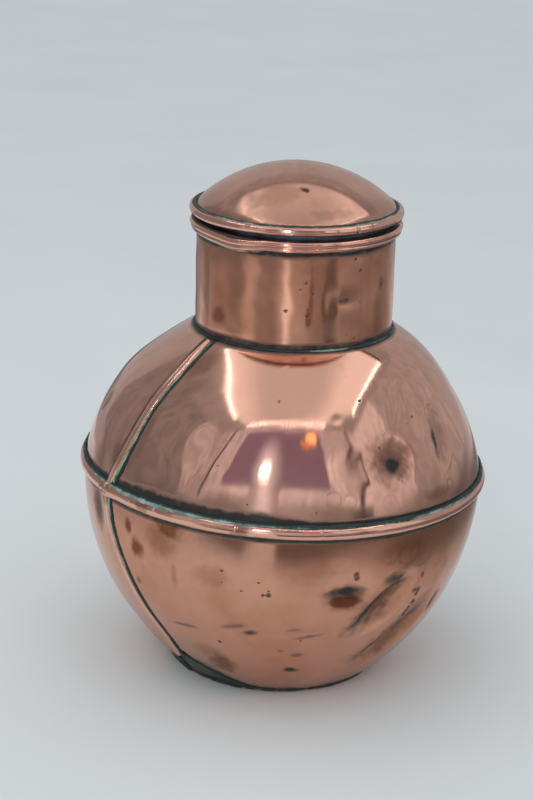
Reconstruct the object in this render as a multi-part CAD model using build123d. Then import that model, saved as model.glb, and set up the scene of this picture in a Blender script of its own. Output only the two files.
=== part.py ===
"""A lidded copper can: a two-part bellied body with beaded seams, a straight neck and a push-in domed lid.

Row frame: +Z up, origin at the centre of the base plate's underside, body seams at -X and +X.
Sizes are millimetres. Everything but the seam beads and the neck's lap is a section turned about Z.
"""

from build123d import *
import math
import os

# Driving dimensions
SHEET = 1.0  # copper sheet of the body, neck and lid
BASE_RADIUS = 48.2  # body at the table
WAIST_RADIUS = 93.3  # body at the waist seam
WAIST_HEIGHT = 97.0
NECK_RADIUS = 45.5  # outside of the neck tube
SHOULDER_HEIGHT = 164.5  # where the shoulder meets the neck
RIM_TOP = 214.7  # top of the neck's rolled rim
CAN_HEIGHT = 240.0  # top of the lid's dome
BELLY_ARC = 122.2  # radius of the lower body's outline
SHOULDER_ARC = 91.8  # radius of the upper body's outline
TOUCH = 0.02  # gap left between two pieces that are soldered together
MARGIN = 5.0  # how far a trimming window reaches past the sheet it trims

# Base plate
PLATE_RADIUS = 49.8
PLATE_THICKNESS = 1.0

# Beading strips, width by height
WAIST_BEAD = (5.8, 2.2)
WAIST_BEAD_SINK = 0.5  # how far the waist strip reaches inside the waist's radius before it is trimmed
SEAM_BEAD = (5.0, 1.9)
SEAM_ABOVE_TABLE = 4.5  # gaps left at the ends of the seam strips
SEAM_BELOW_WAIST = 1.4
SEAM_ABOVE_WAIST = 2.0
SEAM_BELOW_NECK = 2.0

# Rolled rims and their wires
NECK_ROLL = 1.55  # radius of the upper lobe, which holds the wire
NECK_ROLL_GAP = 0.05  # between the roll and the neck tube
NECK_LIP = 1.05  # radius of the tucked-in lower lobe
NECK_LIP_STEP = 0.3  # how much further out than the roll's back the lip's back lies
NECK_LIP_DROP = 3.85  # from the top of the rim down to the lip's centre
LID_ROLL = 1.65
LID_ROLL_CENTRE = (47.3, 219.2)
WIRE_RADIUS = 0.95
WIRE_ROOM = 0.05

# Neck
NECK_TUCK = 3.0  # length of neck tube inside the shoulder
TUBE_BELOW_RIM = 0.4  # from the top of the rim down to the tube's edge
LAP_WIDTH = 7.0
LAP_RISE = 0.35
LAP_ABOVE_SHOULDER = 2.4
LAP_BELOW_LIP = 1.6

# Lid
DOME_FOOT = (45.85, 220.1)  # outer radius and height of the dome's edge
COLLAR_CLEARANCE = 0.25  # between the lid's collar and the neck's bore
COLLAR_SHEET = 0.7
COLLAR_BOTTOM = 196.5
BRIM_SHEET = 0.6  # flange at the top of the collar, under the dome

# Solder: round fillets by how far out and up their centre lies, and their radius
BASE_FILLET = (0.5, 0.7, 1.0)
NECK_FILLET = (0.8, 0.9, 1.3)
# Solder: straight fillets by reach at the upper edge, reach at the lower edge, and height
WAIST_TOP_FILLET = (-0.6, 0.3, 1.6)
WAIST_UNDER_FILLET = (0.6, 0.1, 1.0)
RIM_FILLET = (1.2, 0.7, 1.7)
RIM_FILLET_OVERLAP = 1.0  # how far the rim's fillet reaches up behind the lip
# Solder in the lid's groove: width outside the dome's foot, and height
LID_FILLET = (1.2, 1.1)


def arc_centre(low, high, radius):
    """Centre of the arc of that radius through two points (radius, height), bulging away from the axis."""
    chord = math.dist(low, high)
    back = math.sqrt(radius**2 - chord**2 / 4)
    middle = ((low[0] + high[0]) / 2, (low[1] + high[1]) / 2)
    along = ((high[0] - low[0]) / chord, (high[1] - low[1]) / chord)
    return (middle[0] - along[1] * back, middle[1] + along[0] * back)


BELLY_CENTRE = arc_centre((BASE_RADIUS, 0), (WAIST_RADIUS, WAIST_HEIGHT), BELLY_ARC)
SHOULDER_CENTRE = arc_centre((WAIST_RADIUS, WAIST_HEIGHT), (NECK_RADIUS, SHOULDER_HEIGHT), SHOULDER_ARC)
DOME_RISE = CAN_HEIGHT - DOME_FOOT[1]
DOME_ARC = (DOME_FOOT[0] ** 2 + DOME_RISE**2) / (2 * DOME_RISE)
DOME_CENTRE = (0.0, CAN_HEIGHT - DOME_ARC)
NECK_ROLL_CENTRE = (NECK_RADIUS + NECK_ROLL_GAP + NECK_ROLL, RIM_TOP - NECK_ROLL)
NECK_LIP_CENTRE = (NECK_RADIUS + NECK_ROLL_GAP + NECK_LIP + NECK_LIP_STEP, RIM_TOP - NECK_LIP_DROP)
COLLAR_RADIUS = NECK_RADIUS - SHEET - COLLAR_CLEARANCE


def box_section(r0, r1, z0, z1):
    """Rectangle between two radii and two heights, in the section plane."""
    return Pos((r0 + r1) / 2, (z0 + z1) / 2) * Rectangle(r1 - r0, z1 - z0)


def disc_section(centre, radius):
    return Pos(*centre) * Circle(radius)


def turned(section, angle=360):
    """The section turned about Z, from +X towards +Y."""
    return revolve(Plane.XZ * section, axis=Axis.Z, revolution_arc=angle)


def wall_section(centre, radius, window):
    """Sheet under an arc, kept where the window is."""
    return (disc_section(centre, radius) - disc_section(centre, radius - SHEET)) & window


def halves(section):
    """The section as two half turns that meet at the body seams: front (-Y) and back (+Y)."""
    back = turned(section, 180)
    return Rot(0, 0, 180) * back, back


def bead_section(width, height):
    """Flat-backed round strip: its back on the local Y axis, its crown towards local +X."""
    crown = (width**2 / 4 + height**2) / (2 * height)
    return disc_section((height - crown, 0), crown) & box_section(0, height, -width / 2, width / 2)


def seam_bead(centre, radius, low, high):
    """Strip laid along the body's outline at +X, between two heights."""
    start = math.degrees(math.asin((low - centre[1]) / radius))
    end = math.degrees(math.asin((high - centre[1]) / radius))
    hinge = Axis((centre[0], 0, centre[1]), (0, -1, 0))
    section = Pos(centre[0] + radius + TOUCH, 0, centre[1]) * bead_section(*SEAM_BEAD)
    return revolve(section.rotate(hinge, start), axis=hinge, revolution_arc=end - start)


def fillet_section(radius, low, fillet):
    """Straight-faced fillet against a wall of that radius, standing on that height."""
    upper, lower, height = fillet
    inner = radius - MARGIN
    corners = [(inner, low), (radius + lower, low), (radius + upper, low + height), (inner, low + height)]
    return make_face(Polyline(*corners, close=True))


def lower_shells():
    window = box_section(BASE_RADIUS - MARGIN, WAIST_RADIUS + MARGIN, PLATE_THICKNESS, WAIST_HEIGHT)
    return halves(wall_section(BELLY_CENTRE, BELLY_ARC, window))


def upper_shells():
    top = SHOULDER_HEIGHT + MARGIN
    window = box_section(NECK_RADIUS + TOUCH, WAIST_RADIUS + MARGIN, WAIST_HEIGHT, top)
    return halves(wall_section(SHOULDER_CENTRE, SHOULDER_ARC, window))


def base_plate():
    return turned(box_section(0, PLATE_RADIUS, 0, PLATE_THICKNESS))


def base_solder_ring():
    out, up, radius = BASE_FILLET
    bead = disc_section((PLATE_RADIUS + out, PLATE_THICKNESS + up), radius)
    bead &= box_section(BASE_RADIUS, PLATE_RADIUS + MARGIN, PLATE_THICKNESS, PLATE_THICKNESS + MARGIN)
    return turned(bead - disc_section(BELLY_CENTRE, BELLY_ARC + TOUCH))


def waist_bead():
    """Its crown is an arc; its back stays clear of both shells."""
    width, height = WAIST_BEAD
    inner = WAIST_RADIUS - MARGIN
    strip = bead_section(width, height + WAIST_BEAD_SINK)
    bead = Pos(WAIST_RADIUS - WAIST_BEAD_SINK, WAIST_HEIGHT) * strip
    bead -= box_section(inner, WAIST_RADIUS + TOUCH, WAIST_HEIGHT - width, WAIST_HEIGHT)
    above = box_section(inner, WAIST_RADIUS + height, WAIST_HEIGHT, WAIST_HEIGHT + width)
    return turned(bead - (disc_section(SHOULDER_CENTRE, SHOULDER_ARC + TOUCH) & above))


def waist_solder_upper():
    """Fillet on top of the waist bead, against the upper shell."""
    low = WAIST_HEIGHT + WAIST_BEAD[0] / 2 + TOUCH
    fillet = fillet_section(WAIST_RADIUS, low, WAIST_TOP_FILLET)
    return turned(fillet - disc_section(SHOULDER_CENTRE, SHOULDER_ARC + TOUCH))


def waist_solder_lower():
    """Thin fillet under the waist bead, against the lower shell."""
    low = WAIST_HEIGHT - WAIST_BEAD[0] / 2 - TOUCH - WAIST_UNDER_FILLET[2]
    fillet = fillet_section(WAIST_RADIUS, low, WAIST_UNDER_FILLET)
    return turned(fillet - disc_section(BELLY_CENTRE, BELLY_ARC + TOUCH))


def seam_beads():
    """Four strips: lower and upper, left (-X) and right (+X)."""
    under_waist = WAIST_HEIGHT - WAIST_BEAD[0] / 2 - SEAM_BELOW_WAIST
    over_waist = WAIST_HEIGHT + WAIST_BEAD[0] / 2 + SEAM_ABOVE_WAIST
    lower = seam_bead(BELLY_CENTRE, BELLY_ARC, SEAM_ABOVE_TABLE, under_waist)
    upper = seam_bead(SHOULDER_CENTRE, SHOULDER_ARC, over_waist, SHOULDER_HEIGHT - SEAM_BELOW_NECK)
    return {
        "lower_seam_bead_left": mirror(lower, about=Plane.YZ),
        "lower_seam_bead_right": lower,
        "upper_seam_bead_left": mirror(upper, about=Plane.YZ),
        "upper_seam_bead_right": upper,
    }


def neck_tube():
    """Sheet bent round and lapped at -X, with its foot tucked inside the shoulder."""
    foot = SHOULDER_HEIGHT - NECK_TUCK
    tube = turned(box_section(NECK_RADIUS - SHEET, NECK_RADIUS, foot, RIM_TOP - TUBE_BELOW_RIM))
    lap_angle = math.degrees(LAP_WIDTH / NECK_RADIUS)
    lap_low = SHOULDER_HEIGHT + LAP_ABOVE_SHOULDER
    lap_high = NECK_LIP_CENTRE[1] - NECK_LIP - LAP_BELOW_LIP
    lap = turned(box_section(NECK_RADIUS - SHEET / 2, NECK_RADIUS + LAP_RISE, lap_low, lap_high), lap_angle)
    return tube + Rot(0, 0, 180 - lap_angle / 2) * lap


def neck_solder_ring():
    """Fillet in the corner between the shoulder and the neck."""
    out, up, radius = NECK_FILLET
    bead = disc_section((NECK_RADIUS + out, SHOULDER_HEIGHT + up), radius)
    low, high = SHOULDER_HEIGHT - MARGIN, SHOULDER_HEIGHT + MARGIN
    bead &= box_section(NECK_RADIUS + TOUCH, NECK_RADIUS + MARGIN, low, high)
    return turned(bead - disc_section(SHOULDER_CENTRE, SHOULDER_ARC + TOUCH))


def neck_rim_bead():
    """Rolled edge round the neck's mouth: a wired roll above a tucked-in lip."""
    lobes = disc_section(NECK_ROLL_CENTRE, NECK_ROLL) + disc_section(NECK_LIP_CENTRE, NECK_LIP)
    return turned(lobes - disc_section(NECK_ROLL_CENTRE, WIRE_RADIUS + WIRE_ROOM))


def neck_rim_solder_ring():
    """Fillet under the rim's lip, against the neck."""
    low = NECK_LIP_CENTRE[1] - NECK_LIP + RIM_FILLET_OVERLAP - RIM_FILLET[2]
    fillet = fillet_section(NECK_RADIUS, low, RIM_FILLET) - disc_section(NECK_LIP_CENTRE, NECK_LIP + TOUCH)
    return turned(fillet & box_section(NECK_RADIUS + TOUCH, NECK_RADIUS + MARGIN, low, RIM_TOP))


def rim_wire(centre):
    """Iron wire inside a rolled rim."""
    return turned(disc_section(centre, WIRE_RADIUS))


def lid_dome():
    window = box_section(0, DOME_FOOT[0] + MARGIN, DOME_FOOT[1], CAN_HEIGHT + MARGIN)
    return turned(wall_section(DOME_CENTRE, DOME_ARC, window))


def lid_rim_bead():
    """Rolled edge round the lid, hollow for its wire."""
    hollow = disc_section(LID_ROLL_CENTRE, WIRE_RADIUS + WIRE_ROOM)
    return turned(disc_section(LID_ROLL_CENTRE, LID_ROLL) - hollow)


def lid_solder_ring():
    """Fillet in the groove between the dome's foot and the rolled rim."""
    width, height = LID_FILLET
    foot, low = DOME_FOOT
    groove = box_section(foot - MARGIN, foot + width, low + TOUCH, low + height)
    groove -= disc_section(DOME_CENTRE, DOME_ARC + TOUCH)
    return turned(groove - disc_section(LID_ROLL_CENTRE, LID_ROLL + TOUCH))


def lid_collar():
    """Tinned collar that pushes into the neck and carries the dome."""
    inner = COLLAR_RADIUS - COLLAR_SHEET
    top = DOME_FOOT[1] - TOUCH
    wall = box_section(inner, COLLAR_RADIUS, COLLAR_BOTTOM, top)
    brim = box_section(inner, DOME_FOOT[0], top - BRIM_SHEET, top)
    return turned((wall + brim) - disc_section(LID_ROLL_CENTRE, LID_ROLL + TOUCH))


def all_parts():
    parts = {}
    parts["base_plate"] = base_plate()
    parts["base_solder_ring"] = base_solder_ring()
    parts["lower_shell_front"], parts["lower_shell_back"] = lower_shells()
    parts["waist_bead"] = waist_bead()
    parts["waist_solder_upper"] = waist_solder_upper()
    parts["waist_solder_lower"] = waist_solder_lower()
    parts["upper_shell_front"], parts["upper_shell_back"] = upper_shells()
    parts.update(seam_beads())
    parts["neck_tube"] = neck_tube()
    parts["neck_solder_ring"] = neck_solder_ring()
    parts["neck_rim_bead"] = neck_rim_bead()
    parts["neck_rim_wire"] = rim_wire(NECK_ROLL_CENTRE)
    parts["neck_rim_solder_ring"] = neck_rim_solder_ring()
    parts["lid_dome"] = lid_dome()
    parts["lid_rim_bead"] = lid_rim_bead()
    parts["lid_rim_wire"] = rim_wire(LID_ROLL_CENTRE)
    parts["lid_solder_ring"] = lid_solder_ring()
    parts["lid_collar"] = lid_collar()
    return parts


os.makedirs("parts", exist_ok=True)
for node, shape in all_parts().items():
    export_step(shape, f"parts/{node}.step")
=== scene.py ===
"""Looks of a dented, tarnished copper can with a push-in lid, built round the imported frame.

Sizes are millimetres in the row frame until a mesh is written, which is in metres. Angles round the can are
degrees from +X towards +Y: the left body seam is at 180, and the front half runs from 180 to 360.
"""

import math
import random
from collections import namedtuple

import bmesh
import bpy
import numpy as np
from mathutils import Matrix, Vector


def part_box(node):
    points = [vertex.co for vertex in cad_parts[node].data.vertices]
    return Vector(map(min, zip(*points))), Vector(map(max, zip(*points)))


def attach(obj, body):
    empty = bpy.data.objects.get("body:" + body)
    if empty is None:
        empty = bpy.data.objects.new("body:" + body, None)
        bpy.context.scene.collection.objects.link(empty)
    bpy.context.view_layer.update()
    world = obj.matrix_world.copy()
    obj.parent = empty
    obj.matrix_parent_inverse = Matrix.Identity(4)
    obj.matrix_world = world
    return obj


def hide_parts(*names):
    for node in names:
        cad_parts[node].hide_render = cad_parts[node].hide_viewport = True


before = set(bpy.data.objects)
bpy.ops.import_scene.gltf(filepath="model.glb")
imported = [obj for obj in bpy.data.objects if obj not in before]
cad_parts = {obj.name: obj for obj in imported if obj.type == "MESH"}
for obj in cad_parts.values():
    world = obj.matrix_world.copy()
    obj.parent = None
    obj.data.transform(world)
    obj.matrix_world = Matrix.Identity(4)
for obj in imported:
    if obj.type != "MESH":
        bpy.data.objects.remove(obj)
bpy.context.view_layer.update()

MM = 0.001


# ---------------------------------------------------------------- sizes taken from the frame
def box_mm(node):
    low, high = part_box(node)
    return np.array(low) / MM, np.array(high) / MM


LOWER_LOW, LOWER_HIGH = box_mm("lower_shell_front")
UPPER_HIGH = box_mm("upper_shell_front")[1]
NECK_LOW, NECK_HIGH = box_mm("neck_tube")
RIM_LOW, RIM_HIGH = box_mm("neck_rim_bead")
DOME_LOW, DOME_HIGH = box_mm("lid_dome")
LID_ROLL_LOW, LID_ROLL_HIGH = box_mm("lid_rim_bead")
COLLAR_LOW, COLLAR_HIGH = box_mm("lid_collar")
WAIST_BEAD_LOW, WAIST_BEAD_HIGH = box_mm("waist_bead")
PLATE_RADIUS = box_mm("base_plate")[1][0]

SHEET = 1.0
COLLAR_SHEET = 0.7
COLLAR_CLEARANCE = 0.25
WAIST_HEIGHT = LOWER_HIGH[2]
WAIST_RADIUS = UPPER_HIGH[0]
SHOULDER_HEIGHT = UPPER_HIGH[2]
NECK_RADIUS = NECK_HIGH[1]
RIM_TOP = RIM_HIGH[2]
DOME_RADIUS = DOME_HIGH[0]
DOME_FOOT = DOME_LOW[2]
CAN_TOP = DOME_HIGH[2]
BASE_RADIUS = 48.2
BELLY_ARC = 122.2
SHOULDER_ARC = 91.8

# ---------------------------------------------------------------- camera and the way it faces
CAMERA_AZIMUTH = -37.0
CAMERA_ELEVATION = 18.99
CAMERA_DISTANCE = 0.9692
CAMERA_TARGET = Vector((0, 0, 0.1145))
CAMERA_TURN = (0.549, 0.659, 3.421)  # yaw, pitch and roll away from looking at the target
CAMERA_LENS = 92.57  # on a 36 mm sensor
VIEW_RIGHT = np.array([math.cos(math.radians(CAMERA_AZIMUTH)), math.sin(math.radians(CAMERA_AZIMUTH))])
VIEW_AWAY = np.array([-VIEW_RIGHT[1], VIEW_RIGHT[0]])

# The neck and lid sit askew on the body: shifted to the viewer's right, rising that way, leaning to the left.
NECK_SHIFT = 1.15
NECK_SLOPE = 0.028

AROUND = 720  # steps round a turned piece
EVEN_THETA = np.linspace(0, 360, AROUND, endpoint=False)


# ---------------------------------------------------------------- small maths
def smooth(edge0, edge1, value):
    t = np.clip((value - edge0) / (edge1 - edge0), 0, 1)
    return t * t * (3 - 2 * t)


def ripple(points, wavelength, seed, waves=14):
    """Smooth noise of about -1 to 1 over points in millimetres."""
    draw = random.Random(seed)
    total = np.zeros(points.shape[:-1])
    for _ in range(waves):
        direction = np.array([draw.gauss(0, 1) for _ in range(3)])
        direction /= np.linalg.norm(direction)
        pitch = wavelength * draw.uniform(0.7, 1.6)
        total += np.sin(points @ direction * (2 * math.pi / pitch) + draw.uniform(0, 2 * math.pi))
    return total / math.sqrt(waves) / 1.4


def wrap(angle):
    return (angle + 180) % 360 - 180


def arc_centre(low, high, radius):
    chord = math.dist(low, high)
    back = math.sqrt(radius**2 - chord**2 / 4)
    middle = ((low[0] + high[0]) / 2, (low[1] + high[1]) / 2)
    along = ((high[0] - low[0]) / chord, (high[1] - low[1]) / chord)
    return (middle[0] - along[1] * back, middle[1] + along[0] * back)


class Outline:
    """An arc in the plane of radius and height, turned about Z. Places on it are heights."""

    def __init__(self, centre, radius):
        self.centre = centre
        self.radius = radius

    def angle(self, height):
        return np.arcsin(np.clip((height - self.centre[1]) / self.radius, -1, 1))

    def at(self, theta, height, offset=0.0):
        """Points and normals; theta in degrees and height broadcast together."""
        a = self.angle(height)
        t = np.radians(theta)
        reach = self.centre[0] + (self.radius + offset) * np.cos(a)
        up = self.centre[1] + (self.radius + offset) * np.sin(a)
        normal = np.stack(np.broadcast_arrays(np.cos(t) * np.cos(a), np.sin(t) * np.cos(a), np.sin(a)), -1)
        point = np.stack(np.broadcast_arrays(reach * np.cos(t), reach * np.sin(t), up), -1)
        return point, normal

    def spread(self, theta, height, theta0, height0):
        """Distance round the can and along the outline from a place, in millimetres."""
        a = self.angle(height)
        reach = self.centre[0] + self.radius * np.cos(a)
        return np.radians(wrap(theta - theta0)) * reach, (a - self.angle(height0)) * self.radius


class Crown:
    """A domed lid: a wide arc over its middle and a tight one by its foot, with the same calls as Outline."""

    def __init__(self, foot_reach, foot_height, top, edge_radius, edge_slope):
        end = math.radians(edge_slope)
        across = foot_reach - edge_radius * math.sin(end)
        rise = top - foot_height + edge_radius * (math.cos(end) - 1)
        turn = 2 * math.atan(rise / across)
        wide = across / math.sin(turn) + edge_radius
        self.slopes = np.concatenate([np.linspace(0, turn, 80), np.linspace(turn, end, 81)[1:]])
        over = np.minimum(self.slopes, turn)
        beyond = self.slopes - over
        self.reach = wide * np.sin(over) + edge_radius * (np.sin(over + beyond) - np.sin(over))
        self.height = top - wide * (1 - np.cos(over)) - edge_radius * (np.cos(over) - np.cos(over + beyond))
        self.length = wide * over + edge_radius * beyond

    def at(self, theta, height, offset=0.0):
        slope = np.interp(-height, -self.height, self.slopes)
        reach = np.interp(-height, -self.height, self.reach) + offset * np.sin(slope)
        t = np.radians(theta)
        normal = np.stack(
            np.broadcast_arrays(np.cos(t) * np.sin(slope), np.sin(t) * np.sin(slope), np.cos(slope)), -1
        )
        up = height + offset * np.cos(slope)
        point = np.stack(np.broadcast_arrays(reach * np.cos(t), reach * np.sin(t), up + 0 * t), -1)
        return point, normal

    def spread(self, theta, height, theta0, height0):
        reach = np.interp(-height, -self.height, self.reach)
        along = np.interp(-height0, -self.height, self.length) - np.interp(-height, -self.height, self.length)
        return np.radians(wrap(theta - theta0)) * reach, along


class Wall:
    """An upright cylinder, with the same calls as Outline."""

    def __init__(self, radius):
        self.radius = radius

    def at(self, theta, height, offset=0.0):
        t = np.radians(theta)
        reach = self.radius + offset
        normal = np.stack(np.broadcast_arrays(np.cos(t), np.sin(t), 0 * t + 0 * height), -1)
        point = np.stack(np.broadcast_arrays(reach * np.cos(t), reach * np.sin(t), height + 0 * t), -1)
        return point, normal

    def spread(self, theta, height, theta0, height0):
        return np.radians(wrap(theta - theta0)) * self.radius, height - height0


BELLY = Outline(arc_centre((BASE_RADIUS, 0), (WAIST_RADIUS, WAIST_HEIGHT), BELLY_ARC), BELLY_ARC)
SHOULDER = Outline(
    arc_centre((WAIST_RADIUS, WAIST_HEIGHT), (NECK_RADIUS, SHOULDER_HEIGHT), SHOULDER_ARC), SHOULDER_ARC
)
DOME = Crown(DOME_RADIUS, DOME_FOOT, CAN_TOP, 11, 66)
NECK = Wall(NECK_RADIUS)


def askew(points, share=1.0):
    """Moves neck and lid points to where the crooked neck holds them."""
    side = points[..., :2] @ VIEW_RIGHT
    sideways = NECK_SHIFT - NECK_SLOPE * (points[..., 2] - SHOULDER_HEIGHT)
    moved = points.copy()
    moved[..., :2] += VIEW_RIGHT * (sideways * share)[..., None]
    moved[..., 2] += NECK_SLOPE * side * share
    return moved


# ---------------------------------------------------------------- dents and marks
# theta, height: place on the can. across, tall: half sizes, round the can and along the outline.
# tilt: degrees from upright, leaning towards larger theta. crisp: 1 for a creased edge, 0 for a soft hollow.
Dent = namedtuple("Dent", "theta height across tall depth tilt crisp")
# A mark's dark part is a stain in most places, and its rust red brown; strength is 0 to 1. A few dark belly
# marks are painted shade, and one is a painted reflection.
Mark = namedtuple("Mark", "theta height across tall strength tilt")
Ring = namedtuple("Ring", "theta height radius strength")
Pit = namedtuple("Pit", "theta height radius")


def rows(kind, table):
    return tuple(kind(*row) for row in table)


SHOULDER_DENTS = rows(Dent, (
    (267.5, 124.5, 12.5, 12, 0.75, 0, 1), (267.3, 123.6, 5, 5, 0.4, 0, 0),
    (290, 129.5, 7.5, 15, 1.5, 14, 1), (153, 126, 3.5, 7, 0.9, 0, 1), (276, 145, 4, 17, 0.35, 30, 0),
    (255, 121, 12, 17, 0.5, 0, 0), (250.6, 142, 3.2, 3.2, 0.12, 0, 0), (193, 113, 15, 9, 0.8, 20, 0),
    (206, 128, 9, 17, 0.35, 35, 0), (293, 112, 15, 10, 0.5, 0, 0), (33, 130, 12, 16, 0.9, 25, 1),
    (78, 118, 18, 10, 0.7, 0, 0), (118, 142, 9, 7, 0.6, 0, 1),
))
BELLY_DENTS = rows(Dent, (
    (253.5, 65, 11.5, 6.3, 2.4, 0, 1), (268, 57, 10, 21, 4.2, 40, 1), (278, 34, 10, 25, 3.8, 40, 1),
    (293, 48, 3.5, 8, 1.2, 0, 1), (183, 25, 34, 26, 2.4, 0, 0), (203.5, 40.5, 8, 2.4, 0.4, -8, 0),
    (223, 46, 8, 3.0, 0.5, -10, 0), (244, 45, 9, 2.4, 0.4, -12, 0), (171, 84, 6, 12, 0.9, -10, 0),
    (215, 69, 16, 12, 0.4, 0, 0), (18, 60, 12, 10, 1.2, 0, 1), (63, 36, 8, 14, 1.0, -30, 1),
    (116, 70, 18, 13, 1.0, 20, 0),
))
NECK_DENTS = rows(Dent, (
    (230, 184, 5, 6, 0.06, 0, 0), (254, 186, 4, 9, 0.35, 0, 0), (263, 187, 7, 5, 0.3, 0, 0),
    (58, 190, 8, 9, 0.6, 0, 1),
))
DOME_DENTS = rows(Dent, (
    (239.5, 234, 3, 2, 0.2, 0, 0), (68, 232, 8, 6, 0.5, 0, 0),
))

SHOULDER_MARKS = {
    "grime_and_shade": rows(Mark, (
        (267.2, 123.2, 5.5, 5, 1.0, 0), (267.4, 125, 11, 10.5, 0.55, 0), (288.2, 128, 2.4, 9, 0.95, 14),
        (290, 130, 5.5, 13, 0.3, 14), (154, 126, 2.0, 5.5, 0.8, 0), (185, 122, 4, 17, 0.35, 10),
        (78, 140, 12, 7, 0.3, 0),
    )),
    "rust": rows(Mark, (
        (267.4, 125, 13, 12, 0.6, 0), (191, 157, 7, 10, 0.5, 15), (194, 149, 5, 6, 0.3, 0),
        (177, 112, 5, 9, 0.4, 0), (283, 107, 12, 3, 0.45, 0), (33, 112, 9, 12, 0.5, 0),
        (128, 150, 8, 9, 0.4, 0),
    )),
}
SHOULDER_RINGS = rows(Ring, (
    (247.9, 111.5, 3.4, 0.45), (252.6, 110.5, 3.0, 0.3), (264.8, 108, 3.6, 0.4),
    (276.9, 106.3, 3.6, 0.45), (289.5, 108.5, 2.4, 0.75), (98, 115, 4.5, 0.4),
))
SHOULDER_PITS = rows(Pit, (
    (259.2, 156.4, 0.9), (289.9, 157.4, 0.8), (291.2, 144.4, 0.6), (281.2, 139.2, 0.7),
    (277.6, 137.1, 0.5), (264, 130.5, 0.7), (270, 116, 0.5), (181.9, 132.1, 0.9), (184.9, 135.7, 0.7),
    (214, 122, 0.5), (243, 106, 0.6), (224, 108, 0.6), (58, 120, 0.7), (93, 140, 0.8), (138, 118, 0.7),
))
BELLY_MARKS = {
    "grime_and_shade": rows(Mark, (
        # Painted shade: the rows at 262.8, 265, 276.8 and 278 degrees darken the troughs of the two slanting
        # dents.
        (253.3, 66.8, 10.5, 4.6, 1.0, 0), (262.8, 56.5, 4.2, 18, 1.0, 37), (265, 56.5, 9, 20, 0.5, 38),
        (268.5, 71, 7, 3.4, 0.9, 0), (270, 67.3, 6.5, 3.0, 0.85, 0), (276.8, 38, 8, 24, 1.0, 38),
        # Painted reflection: the row at 169.5 degrees darkens the belly where a dark reflection falls beside
        # the left seam.
        (278, 30, 5, 15, 0.5, 34), (293.2, 47.5, 2.0, 7, 0.95, 0), (169.5, 85, 5.5, 12, 0.8, -8),
        (203.5, 40.2, 7.5, 1.1, 0.7, -10), (221, 46.4, 6, 1.6, 0.45, -14),
        (226.3, 44.0, 3.6, 1.6, 0.9, -8), (239.5, 47.3, 3.5, 1.4, 0.35, -8),
        (244, 43.0, 7.5, 0.9, 0.6, -12), (241.5, 31.3, 3.0, 1.8, 0.75, 0),
        (240.8, 20.2, 3.8, 2.5, 1.0, 0), (236.2, 33.8, 1.5, 0.9, 0.5, 0), (188.4, 58, 1.8, 2.2, 0.55, 0),
        (18, 60, 6, 5, 0.8, 0), (63, 36, 3, 11, 0.8, -30),
    )),
    "rust": rows(Mark, (
        (253.6, 62.0, 8.5, 4.6, 1.0, 0), (267.5, 57, 5.5, 15, 0.65, 36), (283, 36, 5, 16, 0.35, 36),
        (186.7, 85, 2.6, 4, 0.95, 0), (190, 75.5, 4.2, 5.5, 1.0, 12), (202, 90, 8, 5, 0.85, 0),
        (199, 84, 9, 9, 0.5, 0), (215, 72, 9, 6, 0.3, 0), (203.3, 68, 1.8, 7, 0.3, 0),
        (214, 20, 7, 9, 0.8, 0), (210, 26, 9, 6, 0.35, 0), (241, 80, 18, 8, 0.25, 0),
        (270, 84, 14, 7, 0.35, 0), (8, 80, 9, 9, 0.7, 0), (73, 60, 14, 10, 0.4, 0),
        (138, 50, 10, 12, 0.45, 0),
    )),
}
BELLY_RINGS = rows(Ring, (
    (265.5, 84, 4.5, 0.35), (272, 83, 5.5, 0.45), (277, 82, 7.0, 0.35), (43, 80, 6.0, 0.4),
))
BELLY_PITS = rows(Pit, (
    (255.6, 76.5, 1.4), (255.9, 74.4, 1.3), (279.3, 69.6, 1.3), (279.6, 68.2, 0.9), (279.4, 61.0, 2.0),
    (277.8, 61.8, 1.4), (279.3, 58.8, 1.4), (279.2, 54.5, 1.7), (278.3, 51.6, 1.2), (277.6, 50.0, 1.3),
    (276.9, 48.6, 1.2), (231.2, 66.3, 1.3), (229.9, 65.8, 0.9), (231.3, 68.2, 0.7), (228.5, 72.3, 0.7),
    (223.6, 67.2, 0.6), (218, 76.0, 0.9), (218.1, 70.0, 0.5), (215.5, 35.2, 1.1), (242, 40.5, 0.7),
    (48, 50, 1.0), (98, 60, 1.3), (100, 57, 0.8),
))
NECK_MARKS = {
    "grime_and_shade": rows(Mark, (
        (263, 187, 6, 2.0, 0.8, 0), (291.9, 191, 2.0, 3.2, 0.85, 0),
    )),
    "rust": rows(Mark, (
        (186.5, 176, 5, 5, 0.75, 0), (243, 189, 1.2, 13, 0.55, 0), (241.5, 180, 1.2, 5, 0.75, 0),
        (78, 180, 8, 12, 0.5, 0),
    )),
}
NECK_PITS = rows(Pit, (
    (240.1, 196.0, 0.9), (237, 193, 0.5), (241.6, 181, 0.9), (242.2, 184, 0.6), (244.5, 191, 0.8),
    (229.8, 183.0, 0.9), (271.2, 169.4, 0.9), (266, 171.5, 0.5), (280, 172.5, 0.5), (272.8, 200.6, 0.9),
    (274, 186.0, 0.8), (98, 176, 0.9),
))
DOME_MARKS = {
    "grime_and_shade": rows(Mark, (
        (239.7, 233.7, 2.6, 1.5, 1.0, 50), (198, 228, 10, 7, 0.35, 0), (255, 225, 16, 4, 0.35, 0),
    )),
    "rust": rows(Mark, (
        (218, 232, 12, 8, 0.3, 0), (58, 228, 12, 8, 0.4, 0),
    )),
}
DOME_PITS = rows(Pit, (
    (239.4, 233.9, 1.4), (240.8, 233.4, 1.0), (185, 233, 0.9), (286, 231.3, 0.8), (118, 232, 0.9),
))


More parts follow.
